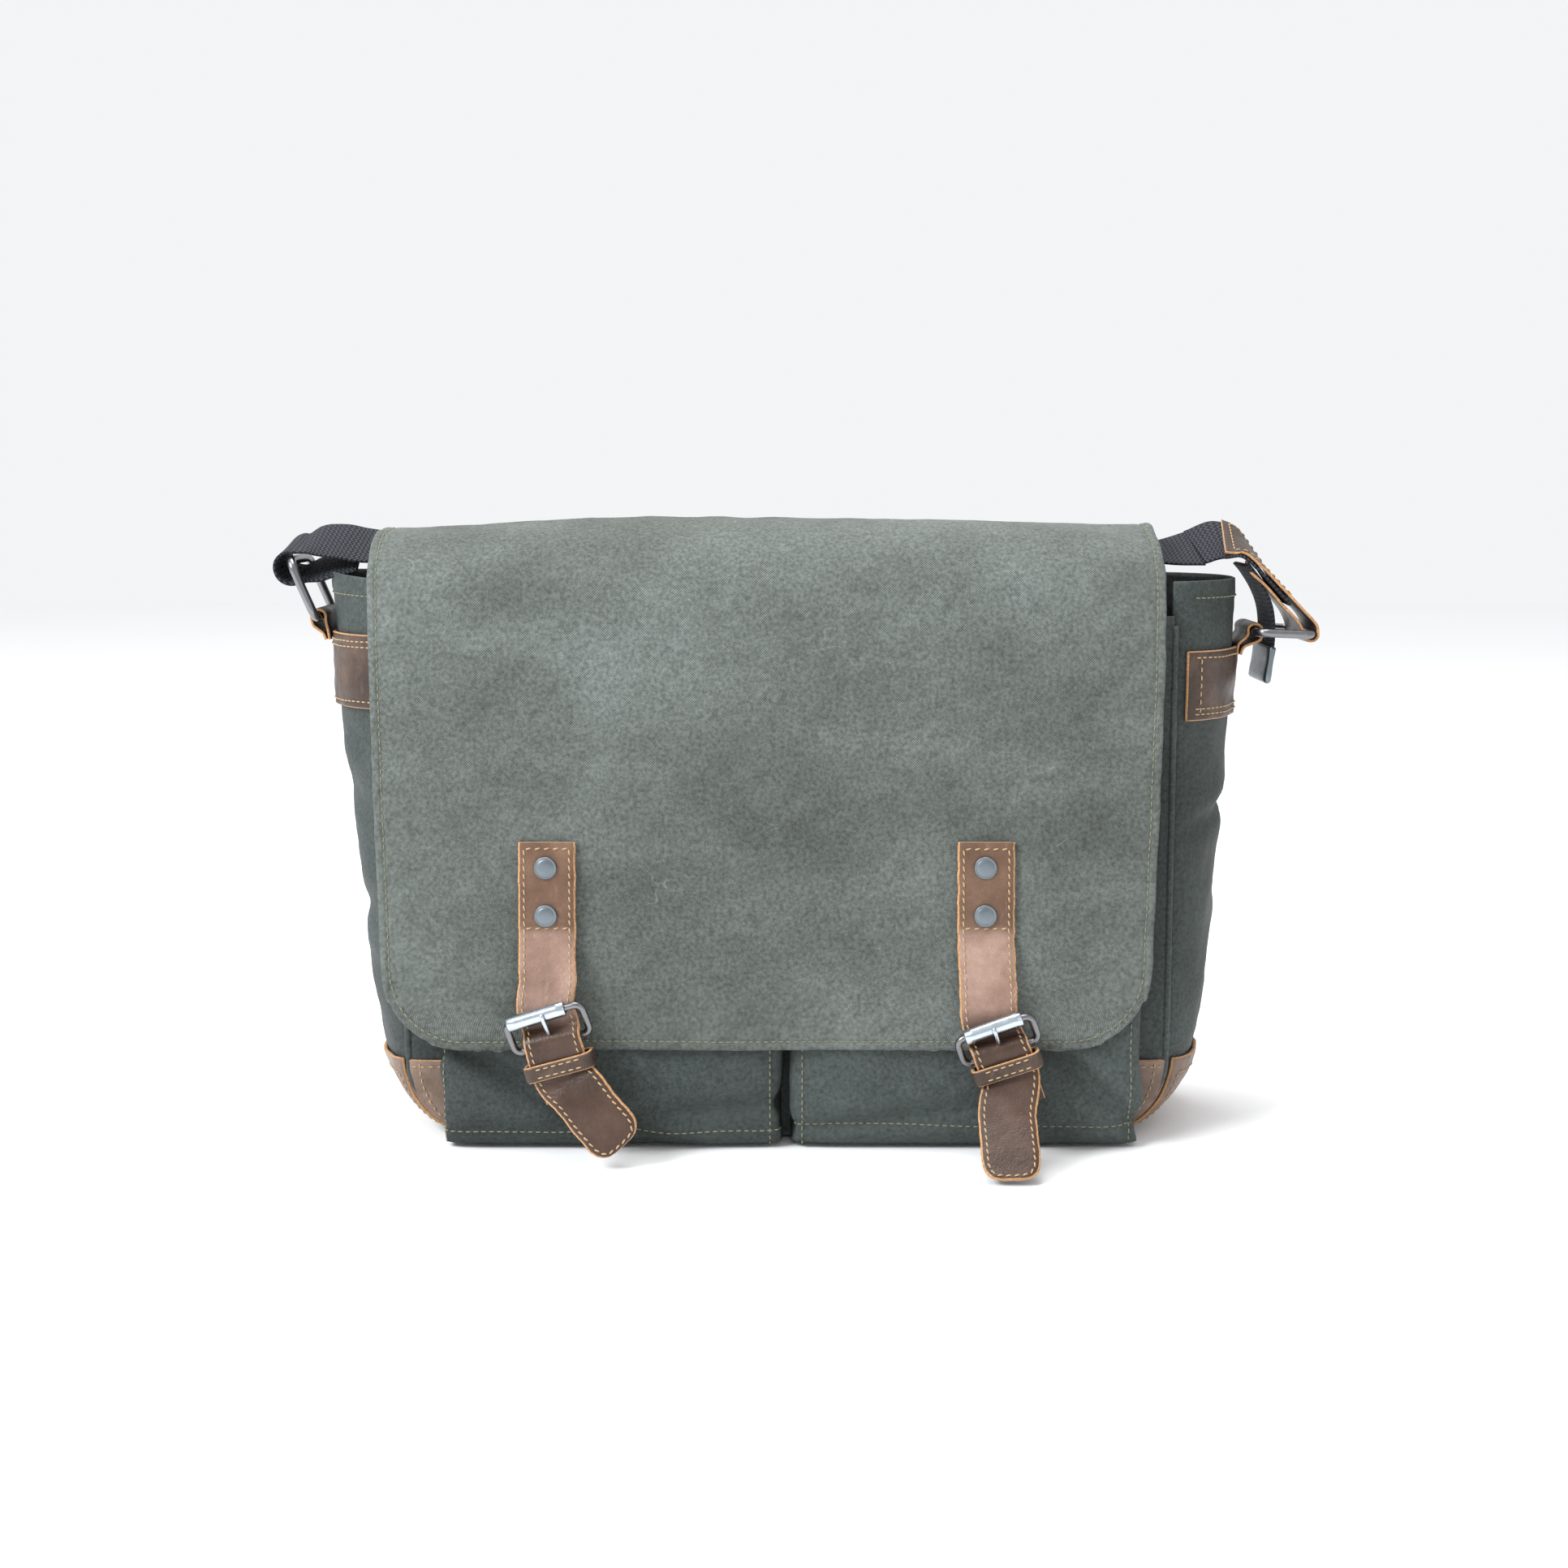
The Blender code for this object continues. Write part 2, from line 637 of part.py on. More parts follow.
# Each ring: a lower bar held by its tab, and an outer bar that the webbing is folded round.
Y = Vector((0, RING_HALF, 0))
LEAN = Vector((-0.39, 0, 0.92)).normalized()
left_bar = Vector((-BAR_X, 0, LEFT_BAR_Z))
left_outer = left_bar + LEAN * 0.028
corners = [left_bar - Y, left_bar + Y, left_outer + Y, left_outer - Y]
tube_ring("ring_left", corners, RING_R, RING_CORNER_R, METAL, LEAN.cross(Vector((0, 1, 0))), sides=8, per=3)
REACH = Vector((0.0250, 0, -0.0010))
right_bar = Vector((BAR_X, 0, RIGHT_BAR_Z))
right_outer = right_bar + REACH
corners = [right_bar - Y, right_outer - Y, right_outer + Y, right_bar + Y]
tube_ring("ring_right", corners, RING_R, RING_CORNER_R, METAL, REACH.cross(Vector((0, 1, 0))), sides=8, per=3)

# Shoulder strap, one length of webbing in life. Its left end is folded round the ring's outer bar.
fold_r = RING_R + GAP + WEB_T / 2 + 0.0032
points = [(-0.1925, 0.2745), (-0.2060, 0.2752), (-0.2160, 0.2722)]
points += fold_round(left_outer, fold_r, 75, 270, 8)
points += [(-0.2170, 0.2575), (-0.2110, 0.2600), (-0.2060, 0.2625)]
webbing("shoulder_strap_left_loop", points)

# The middle is folded to and fro across the mouth under the flap.
points = [(-0.1840, 0.2710), (-0.1000, 0.2722), (0.0, 0.2725), (0.1000, 0.2722), (0.1480, 0.2705)]
points += [(0.1510, 0.2697), (0.1510, 0.2680), (0.1480, 0.2672), (0.0, 0.2690), (-0.1480, 0.2660)]
points += [(-0.1510, 0.2650), (-0.1510, 0.2634), (-0.1480, 0.2626), (0.0, 0.2655), (0.1500, 0.2630)]
points += [(0.1700, 0.2650), (0.1840, 0.2705)]
webbing("shoulder_strap_middle", points)

# The right end runs down over the gusset into a leather chape folded round the ring's outer bar.
points = [(0.1925, 0.2735), (0.2030, 0.2735), (0.2110, 0.2700), (0.2180, 0.2630)]
points += [(0.2250, 0.2530), (0.2300, 0.2460)]
webbing("shoulder_strap_right_end", points)
points = [(0.2095, 0.2738), (0.2135, 0.2706), (0.2204, 0.2636), (0.2275, 0.2537)]
points += [(0.2345, 0.2430), (0.2402, 0.2330)]
points += fold_round(right_outer, RING_R + GAP + 0.0008, 20, -150, 6)
points += [(0.2330, 0.2290), (0.2328, 0.2340), (0.2290, 0.2420), (0.2222, 0.2525)]
ribbon("shoulder_strap_chape", across_bag(points), LEATHER, CHAPE_W, PLY_T, (0, 1, 0))
points = [(0.2130, 0.2620), (0.2155, 0.2570), (0.2190, 0.2480), (0.2215, 0.2380)]
points += [(0.2220, 0.2240), (0.2205, 0.2115)]
tail = across_bag(points)
ribbon("shoulder_strap_tail", tail, WEBBING, TAIL_W, WEB_T, (0, 1, 0))


def end_clip(tail):
    """A metal clip squeezed over the end of the tail: a pocket with four walls and a closed end."""
    t = (tail[-1] - tail[-2]).normalized()
    mouth = tail[-1] - t * 0.0110
    facing = Vector((-t.z, 0, t.x))
    inner = WEB_T / 2 + GAP
    outer = inner + 0.0008
    rings = []
    corners = ((-1, -1), (1, -1), (1, 1), (-1, 1))
    stations = ((0.0160, outer, 0.0182), (0.0, outer, 0.0182), (0.0, inner, 0.0174), (0.0120, inner, 0.0174))
    for reach, off, half in stations:
        rings.append([mouth + t * reach + facing * (a * off) + Vector((0, b * half, 0)) for a, b in corners])
    loft("shoulder_strap_end_clip", rings, METAL)


end_clip(tail)
origin_at("flap_top", FLAP_HINGE)
origin_at("flap_front", CREASE)
origin_at("ring_left", left_bar)
origin_at("ring_right", right_bar)
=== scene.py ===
"""Looks of a waxed canvas messenger bag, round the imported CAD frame. Metres, +Z up, -Y is the front."""

import json
import math

import bmesh
import bpy
import numpy as np
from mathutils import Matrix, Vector


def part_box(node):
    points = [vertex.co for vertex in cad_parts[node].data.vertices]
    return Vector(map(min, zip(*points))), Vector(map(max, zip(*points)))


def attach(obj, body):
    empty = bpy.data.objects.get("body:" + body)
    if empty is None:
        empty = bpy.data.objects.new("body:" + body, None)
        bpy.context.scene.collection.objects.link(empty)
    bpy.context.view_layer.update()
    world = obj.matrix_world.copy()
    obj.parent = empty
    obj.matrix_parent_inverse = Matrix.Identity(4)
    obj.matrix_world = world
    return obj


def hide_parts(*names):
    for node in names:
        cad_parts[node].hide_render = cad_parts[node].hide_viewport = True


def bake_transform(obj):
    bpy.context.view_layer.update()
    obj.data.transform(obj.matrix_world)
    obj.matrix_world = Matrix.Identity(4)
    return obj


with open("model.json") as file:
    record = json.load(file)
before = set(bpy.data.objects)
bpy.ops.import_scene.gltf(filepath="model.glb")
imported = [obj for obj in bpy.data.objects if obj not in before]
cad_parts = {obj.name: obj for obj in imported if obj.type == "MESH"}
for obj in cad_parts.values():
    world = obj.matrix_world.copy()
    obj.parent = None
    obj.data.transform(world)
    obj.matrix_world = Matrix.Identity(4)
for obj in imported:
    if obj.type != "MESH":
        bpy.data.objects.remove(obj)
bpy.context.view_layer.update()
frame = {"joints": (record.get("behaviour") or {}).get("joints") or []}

JOINTS = {j["name"]: j for j in frame["joints"]}
FLAP_CX = -0.009
HALF_DEPTH = 0.0485
CANVAS_T = 0.0014
PANEL_LOW = 0.0030
STRAP_W = 0.025
STRAP_T = 0.0027
WEB_W = 0.038
CANVAS_PITCH = 0.0011
WEAVE_DEPTH = 0.00016
WEB_PITCH = 0.0021
# Heights between which the closure straps carry a painted highlight, a pale bluish band for the lamps' shine,
# with painted shade below it, and the length that one ramp spans.
STRAP_PAINTED_LIGHT_BAND = (0.068, 0.0985)
PAINTED_LIGHT_RAMP_SCALE = 0.30
# How far a cut or folded rim swells out, as a share of half the thickness.
RIM_BULGE = 0.55


# ---------------------------------------------------------------- materials

class Nodes:
    """Short calls for building one material's nodes."""

    def __init__(self, name):
        self.material = bpy.data.materials.new(name)
        self.material.use_nodes = True
        self.tree = self.material.node_tree
        self.bsdf = self.tree.nodes["Principled BSDF"]

    def add(self, kind, **values):
        node = self.tree.nodes.new(kind)
        for key, value in values.items():
            setattr(node, key, value)
        return node

    def link(self, a, b):
        self.tree.links.new(a, b)
        return b

    def coords(self, uv=False):
        node = self.add("ShaderNodeTexCoord")
        return node.outputs["UV" if uv else "Object"]

    def noise(self, vector, scale, detail=4.0, rough=0.55, stretch=None):
        if stretch:
            m = self.add("ShaderNodeMapping")
            m.inputs["Scale"].default_value = stretch
            self.link(vector, m.inputs["Vector"])
            vector = m.outputs["Vector"]
        n = self.add("ShaderNodeTexNoise")
        n.inputs["Scale"].default_value = scale
        n.inputs["Detail"].default_value = detail
        n.inputs["Roughness"].default_value = rough
        self.link(vector, n.inputs["Vector"])
        return n.outputs["Fac"]

    def ramp(self, value, stops):
        r = self.add("ShaderNodeValToRGB")
        while len(r.color_ramp.elements) < len(stops):
            r.color_ramp.elements.new(0.5)
        for e, (at, colour) in zip(r.color_ramp.elements, stops):
            e.position = at
            e.color = (*colour, 1) if len(colour) == 3 else colour
        self.link(value, r.inputs["Fac"])
        return r.outputs["Color"]

    def math(self, how, a, b=None):
        m = self.add("ShaderNodeMath", operation=how)
        for i, v in enumerate((a, b)):
            if v is None:
                continue
            if isinstance(v, (int, float)):
                m.inputs[i].default_value = v
            else:
                self.link(v, m.inputs[i])
        return m.outputs["Value"]

    def mix(self, factor, a, b, how="MIX"):
        m = self.add("ShaderNodeMix", data_type="RGBA", blend_type=how)
        for socket, v in ((m.inputs[0], factor), (m.inputs[6], a), (m.inputs[7], b)):
            if isinstance(v, (int, float)):
                socket.default_value = v
            elif isinstance(v, tuple):
                socket.default_value = (*v, 1)
            else:
                self.link(v, socket)
        return m.outputs[2]

    def bump(self, height, strength, distance, normal=None):
        b = self.add("ShaderNodeBump")
        b.inputs["Strength"].default_value = strength
        b.inputs["Distance"].default_value = distance
        self.link(height, b.inputs["Height"])
        if normal:
            self.link(normal, b.inputs["Normal"])
        return b.outputs["Normal"]

    def finish(self, colour=None, rough=None, normal=None, **fixed):
        for key, value in (("Base Color", colour), ("Roughness", rough), ("Normal", normal)):
            if value is None:
                continue
            if isinstance(value, (int, float)):
                self.bsdf.inputs[key].default_value = value
            elif isinstance(value, tuple):
                self.bsdf.inputs[key].default_value = (*value, 1)
            else:
                self.link(value, self.bsdf.inputs[key])
        for key, value in fixed.items():
            self.bsdf.inputs[key.replace("_", " ")].default_value = value
        return self.material


def weave(n, uv, pitch):
    """Height of a plain weave: threads that pass over and under each other."""
    s = n.add("ShaderNodeSeparateXYZ")
    n.link(uv, s.inputs[0])
    a = n.math("SINE", n.math("MULTIPLY", s.outputs[0], 2 * math.pi / pitch))
    b = n.math("SINE", n.math("MULTIPLY", s.outputs[1], 2 * math.pi / pitch))
    return n.math("MULTIPLY", a, b)


def canvas(name, dark, mid, light, pitch=CANVAS_PITCH, wear=0.5):
    """Waxed cotton: a plain weave under a soft waxy bloom, rubbed paler along its creases."""
    n = Nodes(name)
    obj, uv = n.coords(), n.coords(uv=True)
    base = n.ramp(n.noise(obj, 9, 5, 0.6), [(0.32, dark), (0.50, mid), (0.70, light)])
    folds = n.noise(obj, 22, 4, 0.55, stretch=(0.40, 1.0, 1.9))
    base = n.mix(n.ramp(folds, [(0.50, (0, 0, 0)), (0.72, (0.55 * wear,) * 3)]), base, light)
    # Thin rubbed lines: one narrow level of a smooth noise, kept only here and there.
    level = n.noise(obj, 38, 2, 0.5, stretch=(1.0, 1.0, 1.6))
    hair = n.ramp(level, [(0.490, (0, 0, 0)), (0.500, (1, 1, 1)), (0.510, (0, 0, 0))])
    here = n.ramp(n.noise(obj, 30, 3, 0.6), [(0.58, (0, 0, 0)), (0.70, (0.7 * wear,) * 3)])
    base = n.mix(n.mix(1.0, hair, here, "MULTIPLY"), base, tuple(min(1.0, c * 1.5) for c in light))
    w = weave(n, uv, pitch)
    thread_tones = [(0.0, (0.52,) * 3), (0.5, (0.98,) * 3), (1.0, (1.38,) * 3)]
    tone = n.ramp(n.math("MULTIPLY_ADD", w, 0.5), thread_tones)
    base = n.mix(0.80, base, tone, "MULTIPLY")
    speck = n.ramp(n.noise(obj, 620, 3, 0.6), [(0.30, (0.62,) * 3), (0.70, (1.38,) * 3)])
    base = n.mix(1.0, base, speck, "MULTIPLY")
    rough = n.ramp(n.noise(obj, 25, 4), [(0.3, (0.50,) * 3), (0.7, (0.66,) * 3)])
    normal = n.bump(w, 0.75, WEAVE_DEPTH)
    normal = n.bump(n.noise(obj, 240, 5, 0.7), 0.35, 0.0006, normal)
    return n.finish(base, rough, normal, Specular_IOR_Level=0.18)


def leather(name, dark, mid, light, gloss=0.42, painted_light_between=None):
    """Oiled leather. The optional pair of heights gives a band of painted highlight, paler and bluish, between
    them, and painted shade, much darker, below them.
    """
    n = Nodes(name)
    obj = n.coords()
    clouds = n.noise(obj, 45, 6, 0.62)
    base = n.ramp(clouds, [(0.30, dark), (0.50, mid), (0.72, light)])
    scratch = n.noise(obj, 260, 5, 0.7, stretch=(1.0, 1.0, 0.3))
    scuffed = tuple(c * 1.35 for c in light)
    base = n.mix(n.ramp(scratch, [(0.58, (0, 0, 0)), (0.74, (0.55,) * 3)]), base, scuffed)
    if painted_light_between:
        low, high = painted_light_between
        s = n.add("ShaderNodeSeparateXYZ")
        n.link(obj, s.inputs[0])
        height = n.math("MULTIPLY", s.outputs[2], 1 / PAINTED_LIGHT_RAMP_SCALE)
        # Painted light: a pale bluish highlight painted between the two heights, painted shade below them, and
        # a slightly darker, warmer top.
        pale = n.ramp(height, [
            ((low - 0.010) / PAINTED_LIGHT_RAMP_SCALE, (0.40, 0.37, 0.37)),
            (low / PAINTED_LIGHT_RAMP_SCALE, (2.0, 2.2, 2.6)),
            (high / PAINTED_LIGHT_RAMP_SCALE, (2.0, 2.2, 2.6)),
            ((high + 0.004) / PAINTED_LIGHT_RAMP_SCALE, (1.0, 0.95, 0.9)),
        ])
        base = n.mix(1.0, base, pale, "MULTIPLY")
    pores = n.add("ShaderNodeTexVoronoi")
    pores.inputs["Scale"].default_value = 1100
    n.link(obj, pores.inputs["Vector"])
    pits = n.ramp(pores.outputs["Distance"], [(0.0, (0.62,) * 3), (0.5, (1.05,) * 3)])
    base = n.mix(0.35, base, pits, "MULTIPLY")
    rough = n.ramp(n.noise(obj, 120, 4), [(0.3, (gloss - 0.08,) * 3), (0.7, (gloss + 0.14,) * 3)])
    normal = n.bump(pores.outputs["Distance"], 0.35, 0.00018)
    normal = n.bump(n.noise(obj, 170, 5, 0.65), 0.40, 0.0009, normal)
    return n.finish(base, rough, normal, Specular_IOR_Level=0.32)


def raw_edge(name):
    n = Nodes(name)
    obj = n.coords()
    fibre = n.noise(obj, 900, 5, 0.75)
    tans = [(0.30, (0.20, 0.085, 0.030)), (0.52, (0.46, 0.235, 0.090)), (0.75, (0.66, 0.40, 0.19))]
    base = n.ramp(fibre, tans)
    layer = n.noise(obj, 90, 3, 0.5)
    base = n.mix(n.math("MULTIPLY", layer, 0.35), base, (0.30, 0.15, 0.07))
    return n.finish(base, 0.88, n.bump(fibre, 0.6, 0.0005), Sheen_Weight=0.2)


def webbing(name):
    n = Nodes(name)
    obj, uv = n.coords(), n.coords(uv=True)
    s = n.add("ShaderNodeSeparateXYZ")
    n.link(uv, s.inputs[0])
    turns = n.math("MULTIPLY", s.outputs[0], 2 * math.pi / WEB_PITCH)
    rib = n.math("SINE", turns)
    along = n.math("SINE", n.math("MULTIPLY", s.outputs[1], 2 * math.pi / (1.7 * WEB_PITCH)))
    chevron = n.math("SINE", n.math("ADD", turns, n.math("MULTIPLY", along, 1.6)))
    level = n.math("ADD", n.math("MULTIPLY", chevron, 0.5), 0.5)
    yarn = [(0.0, (0.004, 0.005, 0.006)), (0.50, (0.017, 0.019, 0.024)), (1.0, (0.045, 0.048, 0.062))]
    base = n.ramp(level, yarn)
    dust = n.ramp(n.noise(obj, 400, 5, 0.7), [(0.5, (0, 0, 0)), (0.8, (0.15,) * 3)])
    base = n.mix(dust, base, (0.101, 0.101, 0.115))
    normal = n.bump(n.math("ADD", chevron, n.math("MULTIPLY", rib, 0.3)), 0.8, 0.00035)
    return n.finish(base, 0.80, normal, Specular_IOR_Level=0.25)


def metal(name, colour, rough):
    n = Nodes(name)
    obj = n.coords()
    smudge = n.noise(obj, 120, 4, 0.6)
    base = n.ramp(smudge, [(0.3, tuple(c * 0.88 for c in colour)), (0.7, colour)])
    r = n.ramp(n.noise(obj, 300, 4), [(0.3, (rough,) * 3), (0.7, (rough + 0.10,) * 3)])
    return n.finish(base, r, None, Metallic=1.0)


def thread(name, colour):
    n = Nodes(name)
    obj = n.coords()
    base = n.ramp(n.noise(obj, 1800, 3, 0.7), [(0.3, tuple(c * 0.6 for c in colour)), (0.7, colour)])
    return n.finish(base, 0.8, n.bump(n.noise(obj, 3000, 2), 0.5, 0.0001))


def plain_floor(name, colour):
    n = Nodes(name)
    paler = tuple(min(1, c * 1.01) for c in colour)
    base = n.ramp(n.noise(n.coords(), 3, 2), [(0.3, colour), (0.7, paler)])
    return n.finish(base, 0.9, None)


# The flap and the body are the same waxed canvas in two copies. The flap's tones are painted about twice as
# light, as painted light where it faces the lamps. The body's darker tones are painted shade on the sides,
# front and pockets below it.
LIT_FLAP_CANVAS = canvas(
    "flap_canvas_painted_light", (0.070, 0.078, 0.069), (0.096, 0.107, 0.097), (0.140, 0.156, 0.146), wear=0.75)
SHADED_BODY_CANVAS = canvas(
    "body_canvas_painted_shade", (0.030, 0.036, 0.034), (0.041, 0.050, 0.047), (0.062, 0.074, 0.070), wear=0.40)
INSIDE = canvas(
    "lining_cotton", (0.10, 0.10, 0.09), (0.12, 0.12, 0.11), (0.15, 0.15, 0.135), pitch=0.0009, wear=0.1)
LEATHER = leather(
    "strap_leather", (0.080, 0.044, 0.028), (0.120, 0.068, 0.044), (0.185, 0.112, 0.076), 0.34, STRAP_PAINTED_LIGHT_BAND)
TRIM = leather("trim_leather", (0.026, 0.016, 0.012), (0.048, 0.029, 0.021), (0.095, 0.060, 0.043), 0.42)
CORNER = leather("corner_leather", (0.090, 0.056, 0.040), (0.165, 0.110, 0.082), (0.260, 0.185, 0.145), 0.40)
EDGE = raw_edge("raw_leather_edge")
WEB = webbing("black_webbing")
STEEL = metal("buckle_metal", (0.50, 0.56, 0.62), 0.16)
DARK_STEEL = metal("wire_metal", (0.20, 0.20, 0.21), 0.24)
PEWTER = metal("rivet_metal", (0.17, 0.195, 0.215), 0.36)
TAN_THREAD = thread("tan_thread", (0.48, 0.33, 0.18))
OLIVE_THREAD = thread("olive_thread", (0.215, 0.212, 0.135))


# ---------------------------------------------------------------- mesh tools

def ripple(a, b, seed, scale, octaves=4):
    """Smooth repeatable noise, about -1 to 1, over two lengths in metres."""
    rng = np.random.default_rng(seed)
    total, weight = np.zeros(np.broadcast(a, b).shape), 0.0
    for k in range(octaves):
        for _ in range(4):
            t, phase = rng.uniform(0, 2 * np.pi, 2)
            f = 2 * np.pi / scale * (1.9 ** k) * rng.uniform(0.75, 1.3)
            total += np.sin(f * (a * np.cos(t) + b * np.sin(t)) + phase) * 0.55 ** k / 2
        weight += 0.55 ** k
    return total / weight


def bumped(x, centre, width):
    """A smooth bump of height 1."""
    return np.exp(-((x - centre) / width) ** 2)


def unit(v):
    """Each vector along the last axis, made one unit long."""
    return v / np.maximum(np.linalg.norm(v, axis=-1, keepdims=True), 1e-12)


def run_length(line):
    """How far along a line of points each of them is."""
    return np.concatenate([[0], np.cumsum(np.linalg.norm(np.diff(line, axis=0), axis=1))])


def grid_normals(p):
    return unit(np.cross(np.gradient(p, axis=0), np.gradient(p, axis=1)))


def facing(n, towards):
    """The normals n, all turned round if they point away from towards on the whole."""
    return n if (n * np.asarray(towards)).sum() > 0 else -n


def arc(p, axis):
    """Distance along one way of a grid, the mean line standing for every line."""
    step = np.linalg.norm(np.diff(p, axis=axis), axis=2).mean(axis=1 - axis)
    return np.concatenate([[0], np.cumsum(step)])


def to_object(name, verts, faces, materials, uv=None, indices=None, smooth=True):
    mesh = bpy.data.meshes.new(name)
    mesh.from_pydata([tuple(v) for v in verts], [], faces)
    for m in materials:
        mesh.materials.append(m)
    if indices is not None:
        mesh.polygons.foreach_set("material_index", np.asarray(indices, np.int32))
    if uv is not None:
        layer = mesh.uv_layers.new(name="UVMap")
        loops = np.zeros(len(mesh.loops), np.int32)
        mesh.loops.foreach_get("vertex_index", loops)
        layer.data.foreach_set("uv", np.asarray(uv, np.float32)[loops].ravel())
    mesh.polygons.foreach_set("use_smooth", np.full(len(mesh.polygons), smooth))
    mesh.update()
    ob = bpy.data.objects.new(name, mesh)
    bpy.context.scene.collection.objects.link(ob)
    return ob


def shell(name, p, n, thick, materials, wrap=False):
    """A sheet of cloth or leather with an outer face p, a rounded rim and an inner face thick below it."""
    nu, nv = p.shape[:2]
    depth = np.asarray(thick)
    if depth.ndim == 0:
        depth = np.full((nu, nv), float(thick))
    inner = p - n * depth[..., None]
    us, vs = arc(p, 0), arc(p, 1)
    flat = np.stack(np.meshgrid(us, vs, indexing="ij"), axis=2)
    verts = [p.reshape(-1, 3), inner.reshape(-1, 3)]
    uvs = [flat.reshape(-1, 2), flat.reshape(-1, 2)]
    back = nu * nv
    rows = nu if wrap else nu - 1
    i = np.arange(rows)[:, None]
    i2 = (i + 1) % nu
    j = np.arange(nv - 1)[None, :]
    a, b, c, d = i * nv + j, i2 * nv + j, i2 * nv + j + 1, i * nv + j + 1
    faces = np.stack([a, b, c, d], axis=-1).reshape(-1, 4).tolist()
    faces += (np.stack([d, c, b, a], axis=-1).reshape(-1, 4) + back).tolist()
    index = [0] * len(faces)
    rim = []
    if wrap:
        loops = [[k * nv for k in range(nu)], [k * nv + nv - 1 for k in range(nu)][::-1]]
    else:
        top = list(range(nv))
        right = [k * nv + nv - 1 for k in range(1, nu)]
        low = [(nu - 1) * nv + k for k in range(nv - 2, -1, -1)]
        left = [k * nv for k in range(nu - 2, 0, -1)]
        loops = [top + right + low + left]
    start = 2 * nu * nv
    for loop in loops:
        ids = np.array(loop)
        po, pi = p.reshape(-1, 3)[ids], inner.reshape(-1, 3)[ids]
        centre = (po + pi) / 2
        along = np.roll(centre, -1, 0) - np.roll(centre, 1, 0)
        ui, vi = ids // nv, ids % nv
        next_in = p[ui if wrap else np.clip(ui, 1, nu - 2), np.clip(vi, 1, nv - 2)]
        out = facing(unit(np.cross(along, po - pi)), p[ui, vi] - next_in)
        half = np.linalg.norm(po - pi, axis=1, keepdims=True) / 2
        verts.append(centre + out * half * RIM_BULGE)
        uvs.append(flat.reshape(-1, 2)[ids])
        count = len(ids)
        for k in range(count):
            q = (k + 1) % count
            rim.append((int(ids[k]), start + k, start + q, int(ids[q])))
            rim.append((start + k, int(ids[k]) + back, int(ids[q]) + back, start + q))
        start += count
    faces += rim
    index += [len(materials) - 1] * len(rim)
    ob = to_object(name, np.concatenate(verts), faces, materials, np.concatenate(uvs), index)
    fix_normals(ob)
    return ob


def fix_normals(ob):
    bm = bmesh.new()
    bm.from_mesh(ob.data)
    bmesh.ops.recalc_face_normals(bm, faces=bm.faces)
    if bm.calc_volume(signed=True) < 0:
        bmesh.ops.reverse_faces(bm, faces=bm.faces)
    bm.to_mesh(ob.data)
    bm.free()


def smooth_line(points, count, closed=False):
    """A smooth curve through points, spaced evenly. Any columns past the third go along."""
    pts = np.asarray(points, float)
    if closed:
        pts = np.vstack([pts[-1], pts, pts[0], pts[1]])
    else:
        pts = np.vstack([2 * pts[0] - pts[1], pts, 2 * pts[-1] - pts[-2]])
    out = []
    for i in range(1, len(pts) - 2):
        a, b, c, d = pts[i - 1:i + 3]
        ta, tb, tc = np.cumsum([max(np.linalg.norm(v[:3]), 1e-9) ** 0.5 for v in (b - a, c - b, d - c)])
        for t in np.linspace(ta, tb, 16, endpoint=False):
            a1 = a * (ta - t) / ta + b * t / ta
            a2 = b * (tb - t) / (tb - ta) + c * (t - ta) / (tb - ta)
            a3 = c * (tc - t) / (tc - tb) + d * (t - tb) / (tc - tb)
            b1 = a1 * (tb - t) / tb + a2 * t / tb
            b2 = a2 * (tc - t) / (tc - ta) + a3 * (t - ta) / (tc - ta)
            out.append(b1 * (tb - t) / (tb - ta) + b2 * (t - ta) / (tb - ta))
    out.append(pts[-2])
    out = np.array(out)
    s = run_length(out[:, :3])
    even = np.linspace(0, s[-1], count)
    return np.stack([np.interp(even, s, out[:, k]) for k in range(out.shape[1])], axis=1)


def frames(line, wide):
    """Width and face directions along a line."""
    t = unit(np.gradient(line, axis=0))
    w = unit(wide - t * (wide * t).sum(1, keepdims=True))
    return w, np.cross(t, w)


